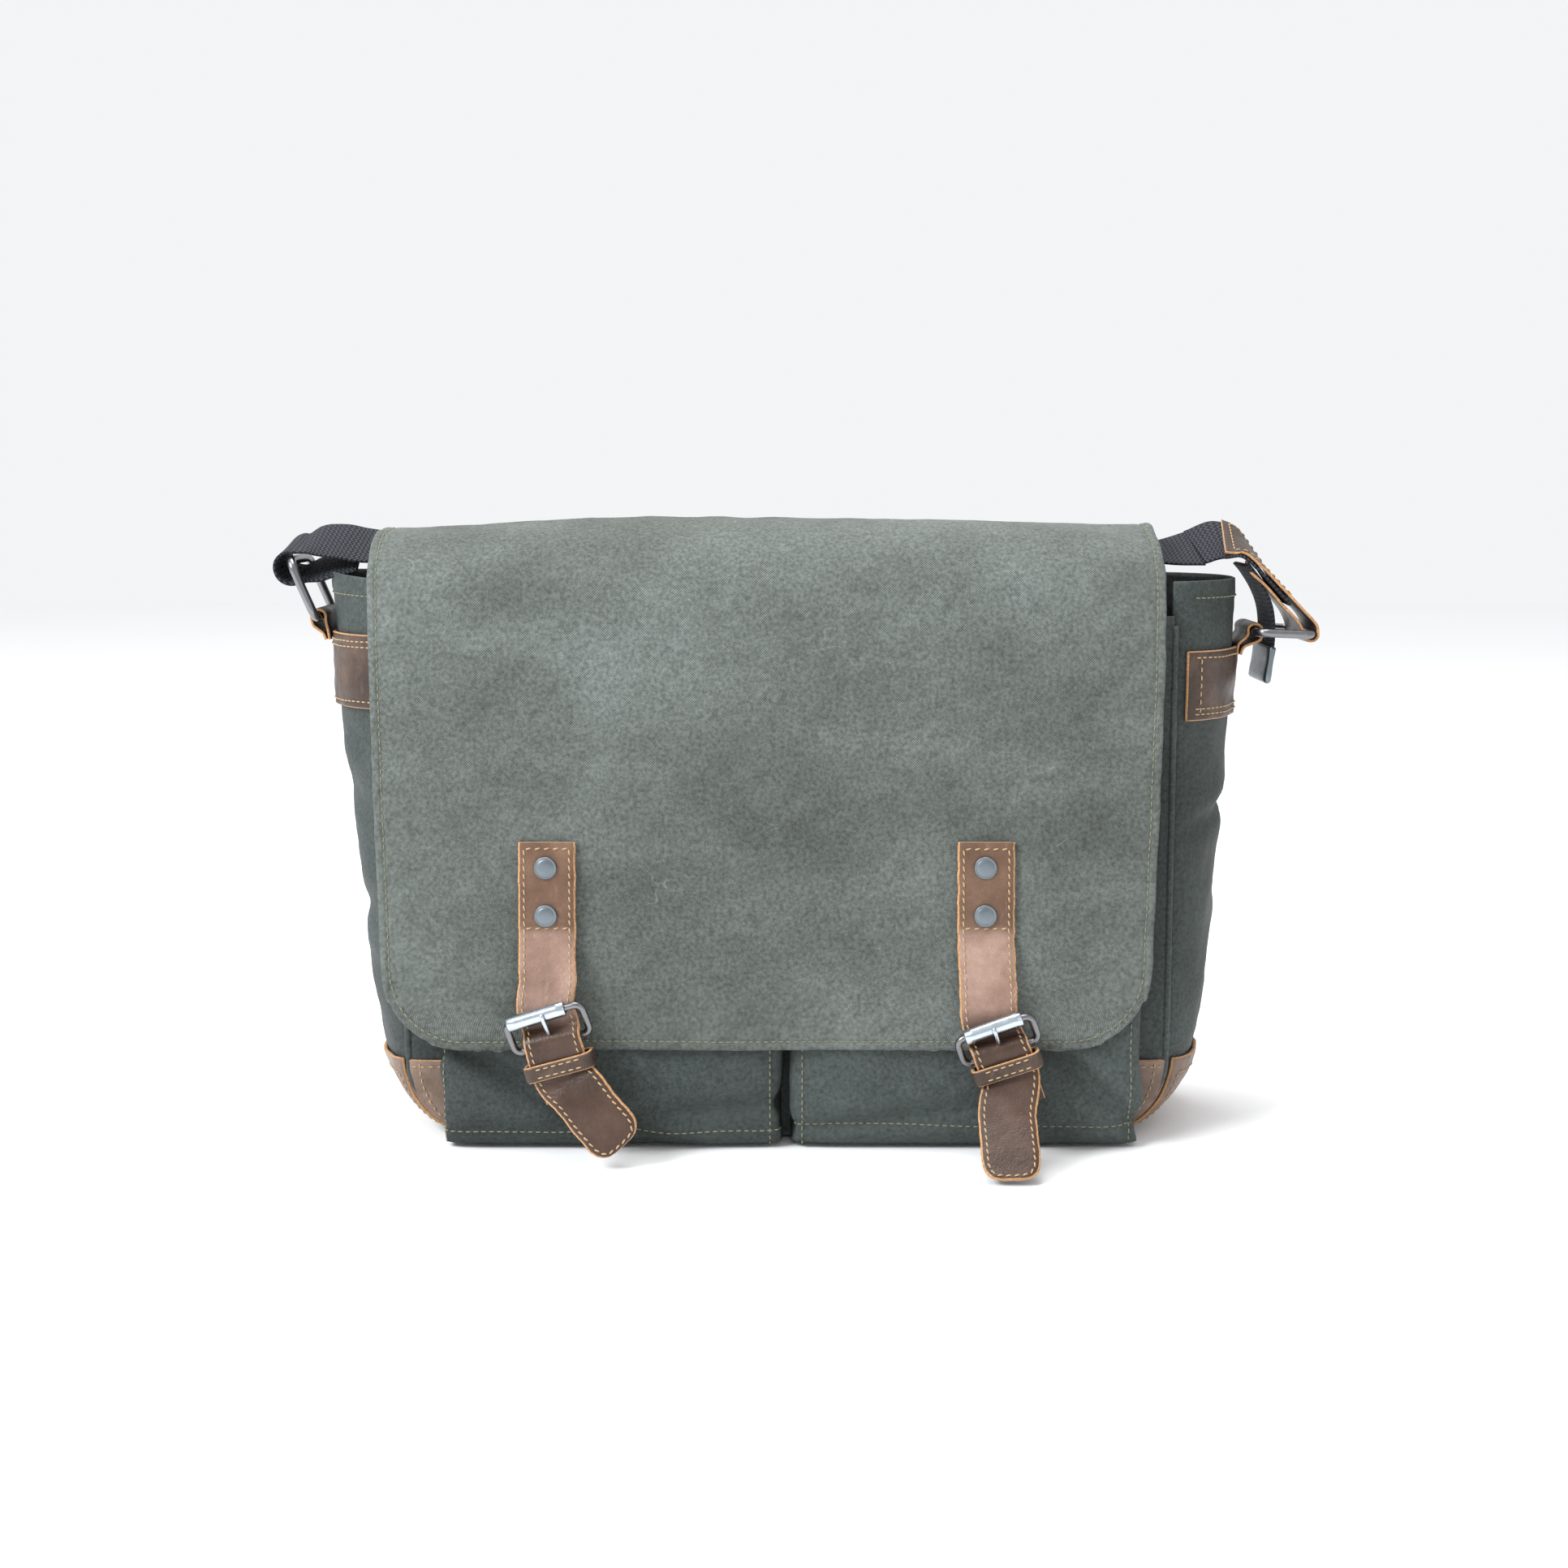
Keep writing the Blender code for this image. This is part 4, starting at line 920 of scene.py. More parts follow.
class Flap:
    """The flap as a surface over (across, down), both in metres."""

    def __init__(self):
        self.line = smooth_line([(0, y, z) for y, z in FLAP_LINE], 400)
        self.s = run_length(self.line)
        self.length = self.s[-1]
        t = unit(np.gradient(self.line, axis=0))
        self.normal = np.stack([0 * t[:, 0], t[:, 2], -t[:, 1]], axis=1)

    def at(self, s, line):
        return np.stack([np.interp(s, self.s, line[:, k]) for k in range(3)], axis=-1)

    def half(self, s):
        return flap_half(self.at(s, self.line)[..., 2])

    def inset_half(self, s, inset):
        """Half width of the outline at s, drawn in by inset, with its rounded lower corners."""
        w = self.half(s) - inset
        low, r = self.length - inset, FLAP_R - inset
        d = np.clip(s - (low - r), 0, r)
        return w - r + np.sqrt(np.maximum(r * r - d * d, 0))

    def push(self, x, s):
        """Folds and dents, away from the bag."""
        c = self.at(s, self.line)
        z = c[..., 2]
        front = np.clip((0.262 - z) / 0.03, 0, 1) * (c[..., 1] < 0)
        out = ripple(x, s, 71, 0.105, 4) * 0.0009
        out = out + 0.0007 * ripple(x, s, 77, 0.035, 3) * (0.35 + 0.65 * front)
        # Shallow vertical waves from the way the flap hangs, and pulls that spread from the strap ends.
        waves = np.cos(2 * np.pi * (x + 0.02) / 0.118) * np.clip((0.24 - z) / 0.1, 0, 1)
        out = out + front * 0.0010 * waves
        above_strap = np.clip((z - 0.142) / 0.01, 0, 1) * np.clip((0.21 - z) / 0.05, 0, 1)
        beside_strap = (z < 0.145) * (z > 0.09) * (c[..., 1] < 0)
        for sx in FLAP_PULLS:
            for lean in (-0.55, 0.5):
                across = (x - sx) - lean * (0.139 - z)
                out = out - 0.0009 * bumped(across, 0, 0.006) * above_strap
            out = out * (1 - 0.85 * bumped(x, sx, 0.016) * beside_strap)
        w = self.half(s)
        edge = np.minimum(w - np.abs(x - FLAP_CX), self.length - s)
        out = out + 0.00035 * np.clip(edge / 0.001, 0, 1) * (edge < 0.0030)
        out = out - 0.0003 * bumped(edge, 0.0037, 0.0008)
        pucker = np.sin((x + s) * 2 * np.pi / 0.0105 + 2 * np.sin(s * 90)) * bumped(edge, 0.0045, 0.004)
        out = out + 0.00018 * pucker
        side = np.clip((np.abs(x - FLAP_CX) / w - 0.86) / 0.14, 0, 1) ** 2
        out = out + side * ripple(s, 0 * s + np.sign(x - FLAP_CX), 83, 0.07, 3) * 0.0020
        return np.clip(out, -0.0022, 0.0030)

    def point(self, x, s, lift=0.0):
        c, n = self.at(s, self.line), self.at(s, self.normal)
        u = (x - FLAP_CX) / self.half(s)
        camber = 0.0052 * np.clip((c[..., 2] - 0.225) / 0.045, 0, 1)
        p = c + n * (self.push(x, s) + lift)[..., None]
        p[..., 0] = x
        p[..., 2] -= camber * np.abs(u) ** 2.4
        return p

    def sewn(self, x, s):
        """A line of stitching along the flap: its points and normals."""
        return self.point(x, s, THREAD_LIFT), self.at(s, self.normal)


def build_flap():
    flap = Flap()
    # The grid is finer round the lower corners and along the side edges.
    round_from = flap.length - FLAP_R
    corner = round_from + FLAP_R * np.sin(np.linspace(0.03, np.pi / 2, 46))
    s = np.concatenate([np.linspace(0, round_from, 190), corner])
    rim = 0.06 * np.linspace(0, 1, 16)
    u = np.concatenate([-1 + rim, np.linspace(-0.94, 0.94, 150)[1:-1], 0.94 + rim])
    w = flap.inset_half(s, 0.0)
    x = FLAP_CX + w[:, None] * u[None, :]
    p = flap.point(x, s[:, None] + 0 * x)
    n = facing(grid_normals(p), flap.at(s, flap.normal)[:, None])
    edge = np.minimum(w[:, None] - np.abs(x - FLAP_CX), (flap.length - s)[:, None] + 0 * x)
    thick = np.where(edge < 0.0048, 0.0018, 0.0013)
    ob = shell("flap_cloth", p, n, thick, [LIT_FLAP_CANVAS, LIT_FLAP_CANVAS])
    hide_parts("flap_top", "flap_front")
    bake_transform(ob)
    lines = []
    inset = 0.0037
    ss = np.linspace(0.010, round_from, 220)
    corner = np.linspace(0, np.pi / 2, 30)[1:]
    sc = round_from + (FLAP_R - inset) * np.sin(corner)
    centre = flap.half(np.array([round_from]))[0] - FLAP_R
    for sign in (-1, 1):
        xs = FLAP_CX + sign * (flap.half(ss) - inset)
        xc = FLAP_CX + sign * (centre + (FLAP_R - inset) * np.cos(corner))
        line_x, line_s = np.concatenate([xs, xc]), np.concatenate([ss, sc])
        if sign < 0:
            bottom = np.linspace(xc[-1], FLAP_CX + centre, 120)[1:]
            line_x = np.concatenate([line_x, bottom])
            line_s = np.concatenate([line_s, np.full(len(bottom), flap.length - inset)])
        lines.append(flap.sewn(line_x, line_s))
    st = stitches("flap_edge_stitches", lines, OLIVE_THREAD, pitch=0.0033)
    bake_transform(st)
    back = np.linspace(FLAP_CX - 0.168, FLAP_CX + 0.168, 200)
    seam = [flap.sewn(back, np.full(200, k)) for k in (0.004, 0.010)]
    place(stitches("flap_back_stitches", seam, OLIVE_THREAD), "flap_crown", "flap_top")


def build_flap_hinge():
    """The strip of canvas that joins the flap's back edge to the back panel."""
    y, z = FLAP_LINE[0]
    line = np.array([(x, y + 0.0004, z - 0.0006) for x in np.linspace(FLAP_CX - 0.1745, 0.1660, 120)])
    place(tube("flap_back_seam", line, 0.0017, SHADED_BODY_CANVAS, sides=12), "flap_crown", "flap_top")
    x = np.linspace(-0.168, 0.164, 90)[:, None]
    profile = ((0.0512, 0.2676), (0.0522, 0.2630), (0.0521, 0.2560), (0.0516, 0.2480))
    drop = smooth_line([(0, y, z) for y, z in profile], 14)
    p = np.stack([x + 0 * drop[None, :, 1], drop[None, :, 1] + 0 * x, drop[None, :, 2] + 0 * x], axis=2)
    n = facing(grid_normals(p), (0, 1, 0))
    place(shell("flap_join_strip", p, n, 0.0010, [SHADED_BODY_CANVAS]), "bag", "back_panel")
    lines = [(p[1:-1, k], n[1:-1, k]) for k in (-3, -6)]
    place(stitches("flap_join_stitches", lines, OLIVE_THREAD), "bag", "back_panel")


# ---------------------------------------------------------------- closure straps

class Buckle:
    """A buckle's own directions: u along the roller, v from roller to heel bar, n away from the bag."""

    def __init__(self, side):
        self.roller = np.array(JOINTS["roller_%s_spin" % side]["pos_m"])
        self.heel = np.array(JOINTS["buckle_%s_tilt" % side]["pos_m"])
        self.u = unit(np.array(JOINTS["buckle_%s_tilt" % side]["axis"], float))
        v = self.heel - self.roller
        self.depth = float(np.linalg.norm(v))
        self.v = v / self.depth
        self.n = np.cross(self.v, self.u)
        tilt = math.asin(self.u[2])
        down = np.array([math.sin(tilt), -0.06, -math.cos(tilt)])
        self.down = unit(down - self.u * down.dot(self.u))
        self.out = np.cross(self.down, self.u)
        self.tilt = math.degrees(tilt)

    def at(self, u=0.0, v=0.0, n=0.0):
        return self.roller + self.u * u + self.v * v + self.n * n

    def low(self, u=0.0, down=0.0, out=0.0):
        return self.heel + self.u * u + self.down * down + self.out * out


# Side, middle x, roller's slide, keeper's distance below the heel bar, strap's offset, its lean at the keeper,
# then listed points above the buckle and below the keeper with the strap's lean in degrees.
CLOSURES = (
    ("left", -0.1050, -0.0030, 0.0100, 0.0010, 24,
     [(-0.1050, -0.0738, 0.0890, 1), (-0.1046, -0.0772, 0.0780, 5)],
     [(-0.0912, -0.0892, 0.0330, 28), (-0.0832, -0.0925, 0.0235, 31), (-0.0765, -0.0950, 0.0165, 33)]),
    ("right", 0.0870, 0.0, 0.0065, -0.0005, 14,
     [(0.0873, -0.0738, 0.0890, 2), (0.0878, -0.0768, 0.0760, 6)],
     [(0.0950, -0.0960, 0.0250, 7), (0.0952, -0.1060, 0.0150, 4), (0.0953, -0.1130, 0.0085, 3)]),
)
STRAP_TOP = 0.1390
STITCH_END = 0.0991
# The tip is rounded over its last TIP_R, where each edge comes in by TIP_INSET.
TIP_R = 0.0088
TIP_INSET = 0.0075


def flap_face_y(z):
    """The flap's outer face at a height, as the CAD strap bases follow it."""
    return float(np.interp(z, [0.0835, 0.1180, 0.1500], [-0.0705, -0.0682, -0.0655]))


def strap_route(b, xc, keep, offset, lean, above, below):
    """The strap's middle line and width directions: down the flap, behind the roller, over the tab."""
    off = 0.0004 + STRAP_T / 2
    pts = [(xc, flap_face_y(z) - off - 0.0004, z, 0.0) for z in (STRAP_TOP, 0.128, 0.117, 0.106, STITCH_END)]
    pts += above
    rows = [
        (b.at(offset, 0.0, -0.0055), b.tilt * 0.55),
        (b.at(offset, b.depth * 0.53, -0.0022), b.tilt * 0.65),
        (b.low(offset * 0.6, -0.0030, 0.0052), b.tilt * 0.8),
        (b.low(offset * 0.3, 0.0005, 0.0056), b.tilt * 0.95),
        (b.low(0, keep - 0.0030, 0.0050), lean),
        (b.low(0, keep + 0.0045, 0.0044), lean),
    ]
    pts += [(*p, a) for p, a in rows]
    pts += below
    end, before = np.array(pts[-1][:3]), np.array(pts[-2][:3])
    pts.append((*(end + unit(end - before) * 0.0083), pts[-1][3]))
    line = smooth_line(pts, 260)
    a = np.radians(line[:, 3])
    return line[:, :3], np.stack([np.cos(a), 0 * a, np.sin(a)], axis=1)


def build_closure(side, xc, slide, keep, offset, lean, above, below):
    b = Buckle(side)
    line, wide = strap_route(b, xc, keep, offset, lean, above, below)
    s = run_length(line)
    left = s[-1] - s
    tip = np.clip((TIP_R - left) / TIP_R, 0, 1)
    widths = STRAP_W - 2 * TIP_INSET * (1 - np.sqrt(np.maximum(1 - tip ** 2.2, 0.0)))
    ob, (line, w, n, half, s) = strap(
        "strap_%s_leather" % side, line, wide, widths, STRAP_T, [LEATHER, EDGE], 14, 0.00022, hash_of(side))
    n = facing(n, (0, -1, 0))
    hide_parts("strap_free_" + side, "strap_base_" + side)
    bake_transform(ob)
    lines = []
    inset = 0.0026
    face = line + n * (STRAP_T / 2 - 0.0001)
    keep_rows = np.where((s > inset) & (left > TIP_R * 0.15))[0]
    edge = np.maximum(half - inset, 0.001)
    for sign in (-1, 1):
        lines.append((face[keep_rows] + w[keep_rows] * (sign * edge[keep_rows])[:, None], n[keep_rows]))
    # Round the tip, across the top end, and across where the stitched part ends.
    span = np.linspace(-1, 1, 20)[:, None]
    top_row, sewn_row = np.searchsorted(s, (inset, 0.0375))
    for row, bend in ((keep_rows[-1], 0.0006), (top_row, 0.0), (sewn_row, 0.0)):
        t = unit(line[min(row + 1, len(line) - 1)] - line[row - 1])
        pts = face[row] + w[row] * (span * edge[row]) + t * (bend * (1 - span ** 2))
        lines.append((pts, np.repeat(n[row][None], 20, 0)))
    st = stitches("strap_%s_stitches" % side, lines, TAN_THREAD, 0.0034, 0.0025, 0.00038, slant=0.22)
    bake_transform(st)
    build_rivets(side)
    build_tab(b, side)
    build_keeper(b, side, keep)
    build_buckle(b, side, slide)


def hash_of(word):
    """A seed from a word."""
    return sum(ord(c) * (k + 3) for k, c in enumerate(word)) % 997


# A rivet head from its middle out: radius as a share of its own, and height.
RIVET_HEAD = (
    (0.02, 0.0016), (0.25, 0.00160), (0.5, 0.00150), (0.68, 0.00128), (0.76, 0.00108), (0.80, 0.00095),
    (0.84, 0.00100), (0.92, 0.00115), (0.98, 0.00095), (1.0, 0.0005), (0.99, -0.0001), (0.6, -0.0002),
)


def build_rivets(side):
    sides = 40
    for which in ("upper", "lower"):
        slot = "rivet_%s_%s" % (side, which)
        lo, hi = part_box(slot)
        cx, cz, r = (lo.x + hi.x) / 2, (lo.z + hi.z) / 2, (hi.x - lo.x) / 2
        verts = [
            (cx + f * r * math.cos(g), hi.y - h - 0.0002, cz + f * r * math.sin(g))
            for f, h in RIVET_HEAD
            for g in 2 * np.pi * np.arange(sides) / sides
        ]
        place(ringed(slot + "_head", verts, sides, PEWTER), "flap", slot, slot)


# One leg of a buckle tab: distance below the heel bar, and out from the middle.
TAB_LEG = ((0.0250, 0.0011), (0.0160, 0.0011), (0.0090, 0.0012), (0.0040, 0.0023))


def build_tab(b, side):
    """One ply folded round the heel bar. The fold is cut away in the middle for the prong."""
    slot, body = "buckle_tab_" + side, "closure_strap_" + side
    fold = 0.0028
    pts = [b.low(0, t, w) for t, w in TAB_LEG]
    turn = np.linspace(0, np.pi, 9)
    pts += [b.heel + b.out * (fold * math.cos(a)) - b.down * (fold * math.sin(a)) for a in turn]
    pts += [b.low(0, t, -w) for t, w in TAB_LEG[::-1]]
    middle = smooth_line(pts, 110)
    for k, (lo, hi) in enumerate(((-0.0110, -0.0023), (0.0023, 0.0110))):
        line, wide = middle + b.u * ((lo + hi) / 2), np.repeat(b.u[None], len(middle), 0)
        ob, _ = strap("%s_ply_%d" % (slot, k), line, wide, hi - lo, 0.0014, [TRIM, EDGE], 6, 0.0001, 7 + k)
        place(ob, body, slot, slot)
    # The middle strip of each ply, below the slot.
    for k, sign in enumerate((1, -1)):
        line = smooth_line([b.low(0, t, sign * w) for t, w in (*TAB_LEG[:3], (0.0060, 0.0018))], 30)
        wide = np.repeat(b.u[None], len(line), 0)
        ob, _ = strap("%s_middle_%d" % (slot, k), line, wide, 0.0047, 0.00138, [TRIM, EDGE], across=4)
        place(ob, body, slot)
    lines = []
    for sign in (-1, 1):
        pts = np.array([b.low(sign * 0.0088, t, 0.0018) for t in np.linspace(0.010, 0.0235, 20)])
        lines.append((pts, np.repeat(b.out[None], 20, 0)))
    place(stitches(slot + "_stitches", lines, TAN_THREAD), body, slot)


def build_keeper(b, side, keep):
    """A leather loop round the strap and the tab, its band turned square to the tab."""
    low, high, wide = -0.0046, 0.0078, 0.0148
    loop = rounded_loop(wide, low, high, 0.0030, 5)
    pts = [b.low(x, keep + 0.0004 * math.sin(x * 180), w) for x, w in loop]
    line = smooth_line(pts, 120, closed=True)[:-1]
    wdir = np.repeat(b.down[None], len(line), 0)
    n = facing(np.cross(closed_tangents(line), wdir), line - line.mean(0))
    cols = np.linspace(-1, 1, 9)[None, :, None]
    p = line[:, None] + wdir[:, None] * (cols * 0.0031) + n[:, None] * (0.0009 - 0.00025 * np.abs(cols) ** 6)
    slot, body = "strap_keeper_" + side, "closure_strap_" + side
    normals = np.repeat(n[:, None], 9, 1)
    place(shell(slot + "_leather", p, normals, 0.0017, [TRIM, EDGE], wrap=True), body, slot, slot)
    from_heel = line - b.heel
    front = (from_heel @ b.out > high - 0.0012) & (np.abs(from_heel @ b.u) < wide - 0.004)
    lines = [(line[front] + wdir[front] * k + n[front] * 0.00095, n[front]) for k in (-0.0018, 0.0018)]
    place(stitches(slot + "_stitches", lines, TAN_THREAD, pitch=0.0030), body, slot)


FRAME_WIRE_R = 0.00165
ROLLER_OUTER, ROLLER_INNER, ROLLER_HALF, ROLLER_SIDES = 0.0034, 0.0021, 0.0130, 48
PRONG_R = 0.00105


def build_buckle(b, side, slide):
    slot = "buckle_frame_" + side
    pts = [b.at(u, v) for u, v in rounded_loop(0.0170, 0.0, b.depth, 0.0034, 7)]
    line = smooth_line(pts, 150, closed=True)[:-1]
    wire = tube(slot + "_wire", line, FRAME_WIRE_R, DARK_STEEL, closed=True, sides=20)
    place(wire, "buckle_" + side, slot, slot)
    build_roller(b, side, slide)
    build_prong(b, side)


def build_roller(b, side, slide):
    """A sheet-metal tube rolled shut, with slightly rounded ends."""
    outer, end, ease = ROLLER_OUTER, ROLLER_HALF, 0.0003
    ring = [(-end, ROLLER_INNER), (-end, outer - ease), (-end + ease, outer)]
    ring += [(x, outer) for x in np.linspace(-end + 0.004, end - 0.004, 9)]
    ring += [(end - ease, outer), (end, outer - ease), (end, ROLLER_INNER)]
    verts = []
    for x, rad in ring:
        for g in 2 * np.pi * np.arange(ROLLER_SIDES) / ROLLER_SIDES:
            # The tube's seam is a shallow line along its length.
            r = rad - 0.00022 * math.exp(-(((g - 4.0) / 0.05) ** 2))
            verts.append(b.at(slide + x, 0, 0) + b.v * (r * math.cos(g)) + b.n * (r * math.sin(g)))
    slot = "buckle_roller_" + side
    ob = ringed(slot + "_tube", verts, ROLLER_SIDES, STEEL, wrap=True)
    mod = ob.modifiers.new("edges", "EDGE_SPLIT")
    mod.split_angle = math.radians(50)
    place(ob, "roller_" + side, slot, slot)


def build_prong(b, side):
    """Bent wire from the heel bar, up through the strap, to rest on the roller."""
    d = b.depth
    bend = [
        (d + 0.0024, 0.0), (d + 0.0014, -0.0023), (d - 0.0014, -0.0023), (d - 0.0032, -0.0002),
        (d - 0.0048, 0.0020), (d * 0.42, 0.0036), (0.0015, 0.0045), (-0.0012, 0.0046), (-0.0024, 0.0038),
    ]
    line = smooth_line([b.at(0, v, n) for v, n in bend], 60)
    s = np.linspace(0, 1, 60)
    point = 1 - 0.45 * np.clip((s - 0.93) / 0.07, 0, 1) ** 2
    root = 1 - 0.2 * np.clip((0.05 - s) / 0.05, 0, 1)
    slot = "buckle_prong_" + side
    place(tube(slot + "_wire", line, PRONG_R * point * root, STEEL, sides=16), "prong_" + side, slot, slot)


# ---------------------------------------------------------------- rings and shoulder strap

BAR_X = 0.2128
RING_HALF = 0.0215
RING_R = 0.0020


def ring_loop(name, body, bar, top):
    side, along = np.array([0, 1.0, 0]), unit(top - bar)
    loop = rounded_loop(RING_HALF, 0.0, np.linalg.norm(top - bar), 0.0050, 7)
    line = smooth_line([bar + side * y + along * a for y, a in loop], 160, closed=True)[:-1]
    place(tube(name + "_wire", line, RING_R, DARK_STEEL, closed=True, sides=20), body, name, name)


def flat_route(points, count):
    """A route in the bag's middle plane. A third value tilts the width, its far edge up, in degrees."""
    rows = [(p[0], 0.0, p[1], p[2] if len(p) > 2 else 0.0) for p in points]
    line = smooth_line(rows, count)
    a = np.radians(line[:, 3])
    return line[:, :3], np.stack([0 * a, np.cos(a), np.sin(a)], axis=1)


def bend_round(cx, cz, r, start, stop, steps):
    """Points on an arc, from one angle to another in degrees."""
    angles = np.radians(np.linspace(start, stop, steps + 1))
    return [(cx + r * math.cos(a), cz + r * math.sin(a)) for a in angles]


def build_ring_tab(side, sign, bar_z, low_z, skin_x):
    """One ply folded over the ring's lower bar, both legs tucked under the band on the gusset at skin_x."""
    inner_x, outer_x = skin_x + 0.0007, skin_x + 0.0023
    r = TAB_BEND
    pts = [(inner_x, low_z), (inner_x + 0.0006, bar_z - 0.0060), (BAR_X - r * 0.94, bar_z - 0.0015)]
    pts += bend_round(BAR_X, bar_z, r, 180, 0, 6)[1:]
    pts += [(BAR_X + r * 0.75, bar_z - 0.0036), (outer_x + 0.0014, bar_z - 0.0072), (outer_x, low_z)]
    line, wide = flat_route([(sign * x, z) for x, z in pts], 120)
    name = "ring_tab_" + side
    ob, _ = strap(name + "_leather", line, wide, 0.030, 0.0016, [TRIM, EDGE], wobble=0.0001, seed=13)
    place(ob, "bag", name, name)


def build_webbing(name, body, points, width=WEB_W, count=140, seed=3, bends=None):
    """A run of webbing. Returns the object and its length."""
    line, wide = flat_route(points, count)
    s = run_length(line)
    line[:, 2] += ripple(s, 0 * s, seed, 0.05, 3) * 0.0003
    ob, _ = strap(name + "_web", line, wide, width, 0.0017, [WEB], 20, 0.00012, seed)
    if bends:
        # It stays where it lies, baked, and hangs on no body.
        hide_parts(name)
        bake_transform(ob)
    else:
        place(ob, body, name, name)
    return ob, float(run_length(line)[-1])


# Each run of the shoulder strap, in the bag's middle plane: x and z, and the tilt in degrees where it has one.
MIDDLE_ROUTE = [
    (-0.1880, 0.2650, 20), (-0.1800, 0.2662, 17), (-0.1620, 0.2695, 5), (-0.1000, 0.2722), (0.0, 0.2725),
    (0.1000, 0.2722), (0.1480, 0.2705), (0.1512, 0.2697), (0.1512, 0.2680), (0.1480, 0.2672), (0.0, 0.2690),
    (-0.1480, 0.2660), (-0.1512, 0.2650), (-0.1512, 0.2634), (-0.1480, 0.2626), (0.0, 0.2655),
    (0.1500, 0.2612), (0.1700, 0.2620, 12), (0.1880, 0.2645, 22),
]
RIGHT_END_ROUTE = [
    (0.1870, 0.2648, 22), (0.1985, 0.2680, 24), (0.2060, 0.2662, 21), (0.2140, 0.2580, 14),
    (0.2225, 0.2475, 8), (0.2285, 0.2400, 5),
]
TAIL_ROUTE = [
    (0.2085, 0.2570), (0.2120, 0.2530), (0.2165, 0.2460), (0.2200, 0.2370), (0.2210, 0.2240), (0.2190, 0.2090),
]
TAB_BEND = RING_R + 0.0006 + 0.0008
WEB_BEND = RING_R + 0.0003 + 0.0008


def build_rings():
    left_bar = np.array(JOINTS["ring_left_swing"]["pos_m"])
    left_top = left_bar + unit(np.array([-0.39, 0, 0.92])) * 0.028
    right_bar = np.array(JOINTS["ring_right_swing"]["pos_m"])
    right_top = right_bar + np.array([0.0250, 0, -0.0010])
    ring_loop("ring_left", "ring_left_body", left_bar, left_top)
    ring_loop("ring_right", "ring_right_body", right_bar, right_top)
    build_ring_tab("left", -1, left_bar[2], 0.2235, 0.2074)
    build_ring_tab("right", 1, right_bar[2], 0.2165, 0.2042)
    build_shoulder_strap(left_top)
    build_chape(right_top)
    build_webbing("shoulder_strap_tail", "ring_right_body", TAIL_ROUTE, width=0.034, count=70, seed=10)
    build_end_clip(TAIL_ROUTE)


def build_shoulder_strap(left_top):
    # The left end is folded over the ring's top bar. It carries on, under the flap, as the middle.
    pts = [(-0.1870, 0.2650, 20), (-0.1960, 0.2662, 21), (-0.2060, 0.2676, 21), (-0.2150, 0.2676, 18)]
    pts += [(x, z, 11) for x, z in bend_round(left_top[0], left_top[2], WEB_BEND + 0.0040, 75, 270, 8)]
    pts += [(-0.2170, 0.2545, 14), (-0.2110, 0.2558, 17), (-0.2050, 0.2580, 19), (-0.1960, 0.2605, 20)]
    bends = ((-0.1875, 0.0, 0.2650), (-0.2080, 0.0, 0.2670))
    build_webbing("shoulder_strap_left_loop", "ring_left_body", pts, seed=4, bends=bends)
    ob, length = build_webbing("shoulder_strap_middle", "bag", MIDDLE_ROUTE, count=420, seed=8)
    bends = ((0.1885, 0.0, 0.2650), (0.2000, 0.0, 0.2680))
    build_webbing("shoulder_strap_right_end", "ring_right_body", RIGHT_END_ROUTE, count=90, seed=9, bends=bends)


def build_chape(ring_top):
    """One ply of leather folded round the right ring's outer bar."""
    pts = [(0.2000, 0.2698, 24), (0.2075, 0.2674, 20), (0.2158, 0.2592, 14), (0.2245, 0.2488, 8)]
    pts += [(0.2330, 0.2390, 4), (0.2402, 0.2305, 2)]
    pts += bend_round(ring_top[0], ring_top[2], WEB_BEND, 20, -150, 6)
    pts += [(0.2335, 0.2290, 2), (0.2310, 0.2335, 4), (0.2250, 0.2405, 7), (0.2170, 0.2505, 11)]
    pts += [(0.2120, 0.2558, 14)]
    line, wide = flat_route(pts, 150)
    slot = "shoulder_strap_chape"
    ob, (line, w, n, _, s) = strap(
        slot + "_leather", line, wide, 0.0365, 0.0016, [TRIM, EDGE], across=16, wobble=0.0003, seed=21)
    place(ob, "ring_right_body", slot, slot)
    if n[30][0] < 0:
        n = -n
    rows = np.where((s > 0.003) & (s < 0.040))[0]
    edge, lift = 0.0155, 0.0008
    lines = [(line[rows] + w[rows] * k + n[rows] * lift, n[rows]) for k in (-edge, edge)]
    span = np.linspace(-edge, edge, 20)[:, None]
    for row in (rows[0], rows[-1]):
        lines.append((line[row] + w[row] * span + n[row] * lift, np.repeat(n[row][None], 20, 0)))
    place(stitches(slot + "_stitches", lines, TAN_THREAD), "ring_right_body", slot)


# The end clip from its open end: distance along the tail, half thickness and half width.
CLIP_STATIONS = (
    (0.0, 0.0019, 0.0181), (0.0010, 0.00205, 0.0183), (0.0050, 0.0018, 0.0183), (0.0080, 0.00175, 0.0183),
    (0.0120, 0.0020, 0.0183), (0.0152, 0.0020, 0.0182), (0.0162, 0.0014, 0.0176), (0.0165, 0.0004, 0.0170),
)


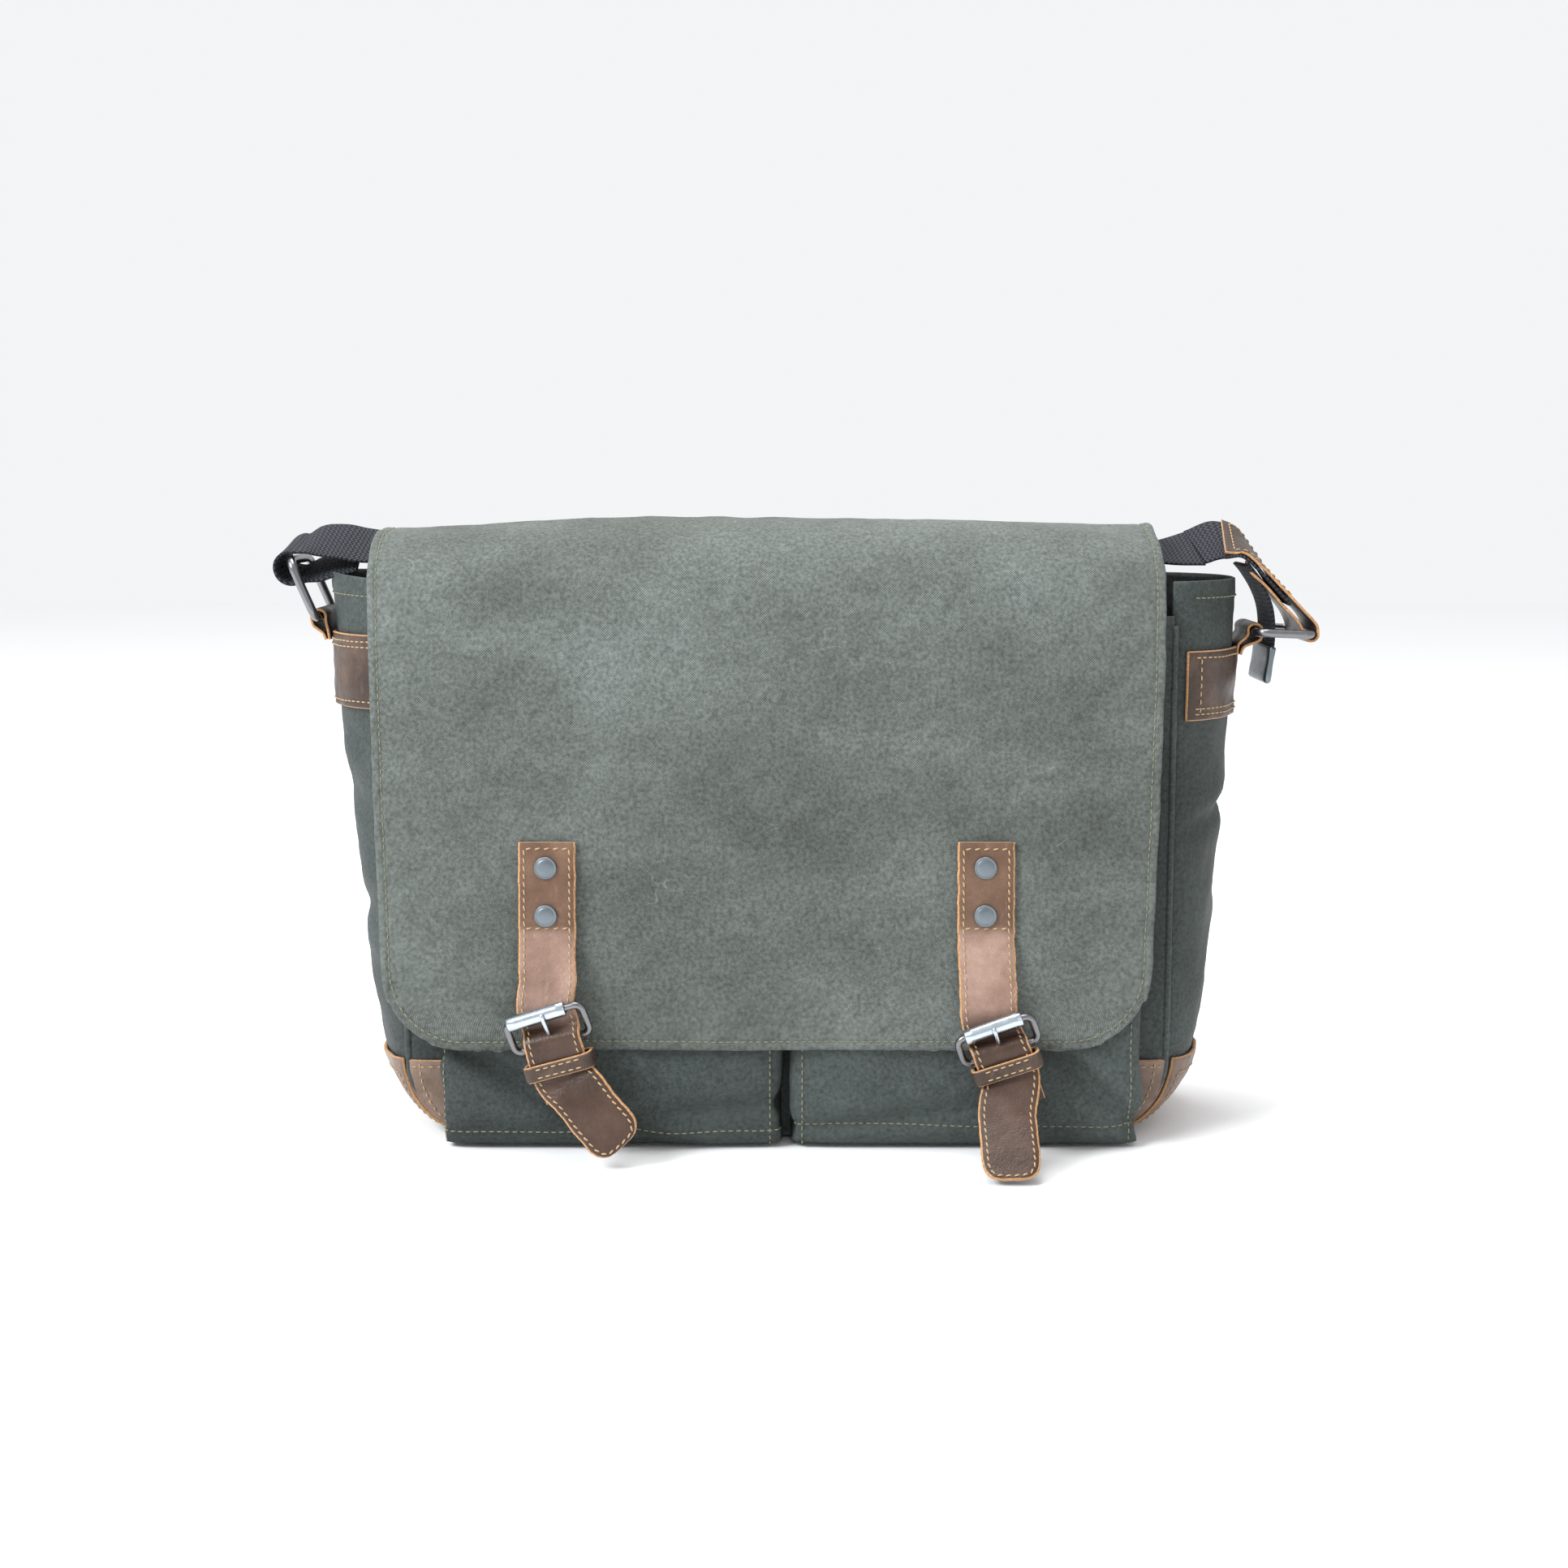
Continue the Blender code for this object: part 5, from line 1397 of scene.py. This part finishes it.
def build_end_clip(pts):
    """A sheet-metal end folded and squeezed over the tail."""
    a, b = np.array([pts[-2][0], 0, pts[-2][1]]), np.array([pts[-1][0], 0, pts[-1][1]])
    t = unit(b - a)
    out, side = np.array([-t[2], 0, t[0]]), np.array([0, 1.0, 0])
    start, count = b - t * 0.0110, 44
    verts = []
    for d, thick, wide in CLIP_STATIONS:
        for g in 2 * np.pi * np.arange(count) / count:
            c, z = math.cos(g), math.sin(g)
            y = wide * math.copysign(abs(c) ** 0.22, c)
            verts.append(start + t * d + out * (thick * math.copysign(abs(z) ** 0.55, z)) + side * y)
    slot = "shoulder_strap_end_clip"
    place(ringed("shoulder_strap_end_metal", verts, count, PEWTER), "ring_right_body", slot, slot)


# ---------------------------------------------------------------- floor, light and camera

def build_stage():
    corners = [(x, y, -0.0004) for x, y in ((-4, -3), (4, -3), (4, 4), (-4, 4))]
    to_object("floor", corners, [(0, 1, 2, 3)], [plain_floor("floor_white", (0.93, 0.93, 0.93))])
    world = bpy.data.worlds.new("studio")
    bpy.context.scene.world = world
    world.use_nodes = True
    background = world.node_tree.nodes["Background"].inputs
    background["Color"].default_value = (0.98, 0.99, 1.0, 1)
    background["Strength"].default_value = 0.92
    bpy.context.scene.view_settings.view_transform = "Standard"
    for name, at, aim, size, power in (
        ("key", (-1.5, -1.1, 1.5), (-0.05, 0, 0.15), 0.9, 58),
        ("fill", (1.2, -1.6, 0.7), (0, 0, 0.13), 0.8, 1.5),
        ("top", (-0.1, 0.1, 1.8), (0, 0, 0.2), 0.9, 26),
    ):
        light = bpy.data.lights.new(name, "AREA")
        light.size = size
        light.energy = power
        light.color = (0.93, 0.97, 1.0) if name == "key" else (1.0, 1.0, 1.0)
        ob = bpy.data.objects.new(name, light)
        bpy.context.scene.collection.objects.link(ob)
        ob.location = at
        ob.rotation_euler = (Vector(aim) - Vector(at)).to_track_quat("-Z", "Y").to_euler()


def build_camera():
    target, distance, elevation = Vector((-0.0014, -0.05, 0.162)), 1.0, math.radians(8)
    data = bpy.data.cameras.new("camera")
    data.lens, data.sensor_width = 51.8, 36.0
    ob = bpy.data.objects.new("camera", data)
    bpy.context.scene.collection.objects.link(ob)
    ob.location = target + Vector((0, -math.cos(elevation), math.sin(elevation))) * distance
    ob.rotation_euler = (target - ob.location).to_track_quat("-Z", "Y").to_euler()
    bpy.context.scene.camera = ob


build_stage()
build_camera()
build_gussets()
build_panel("back_panel", HALF_DEPTH + 0.0016, 1, 0.262, 61)
build_panel("front_panel", -HALF_DEPTH - 0.0012, -1, 0.236, 62)
build_seams()
build_base()
build_lining()
build_pockets()
build_flap()
build_flap_hinge()
for closure in CLOSURES:
    build_closure(*closure)
build_rings()
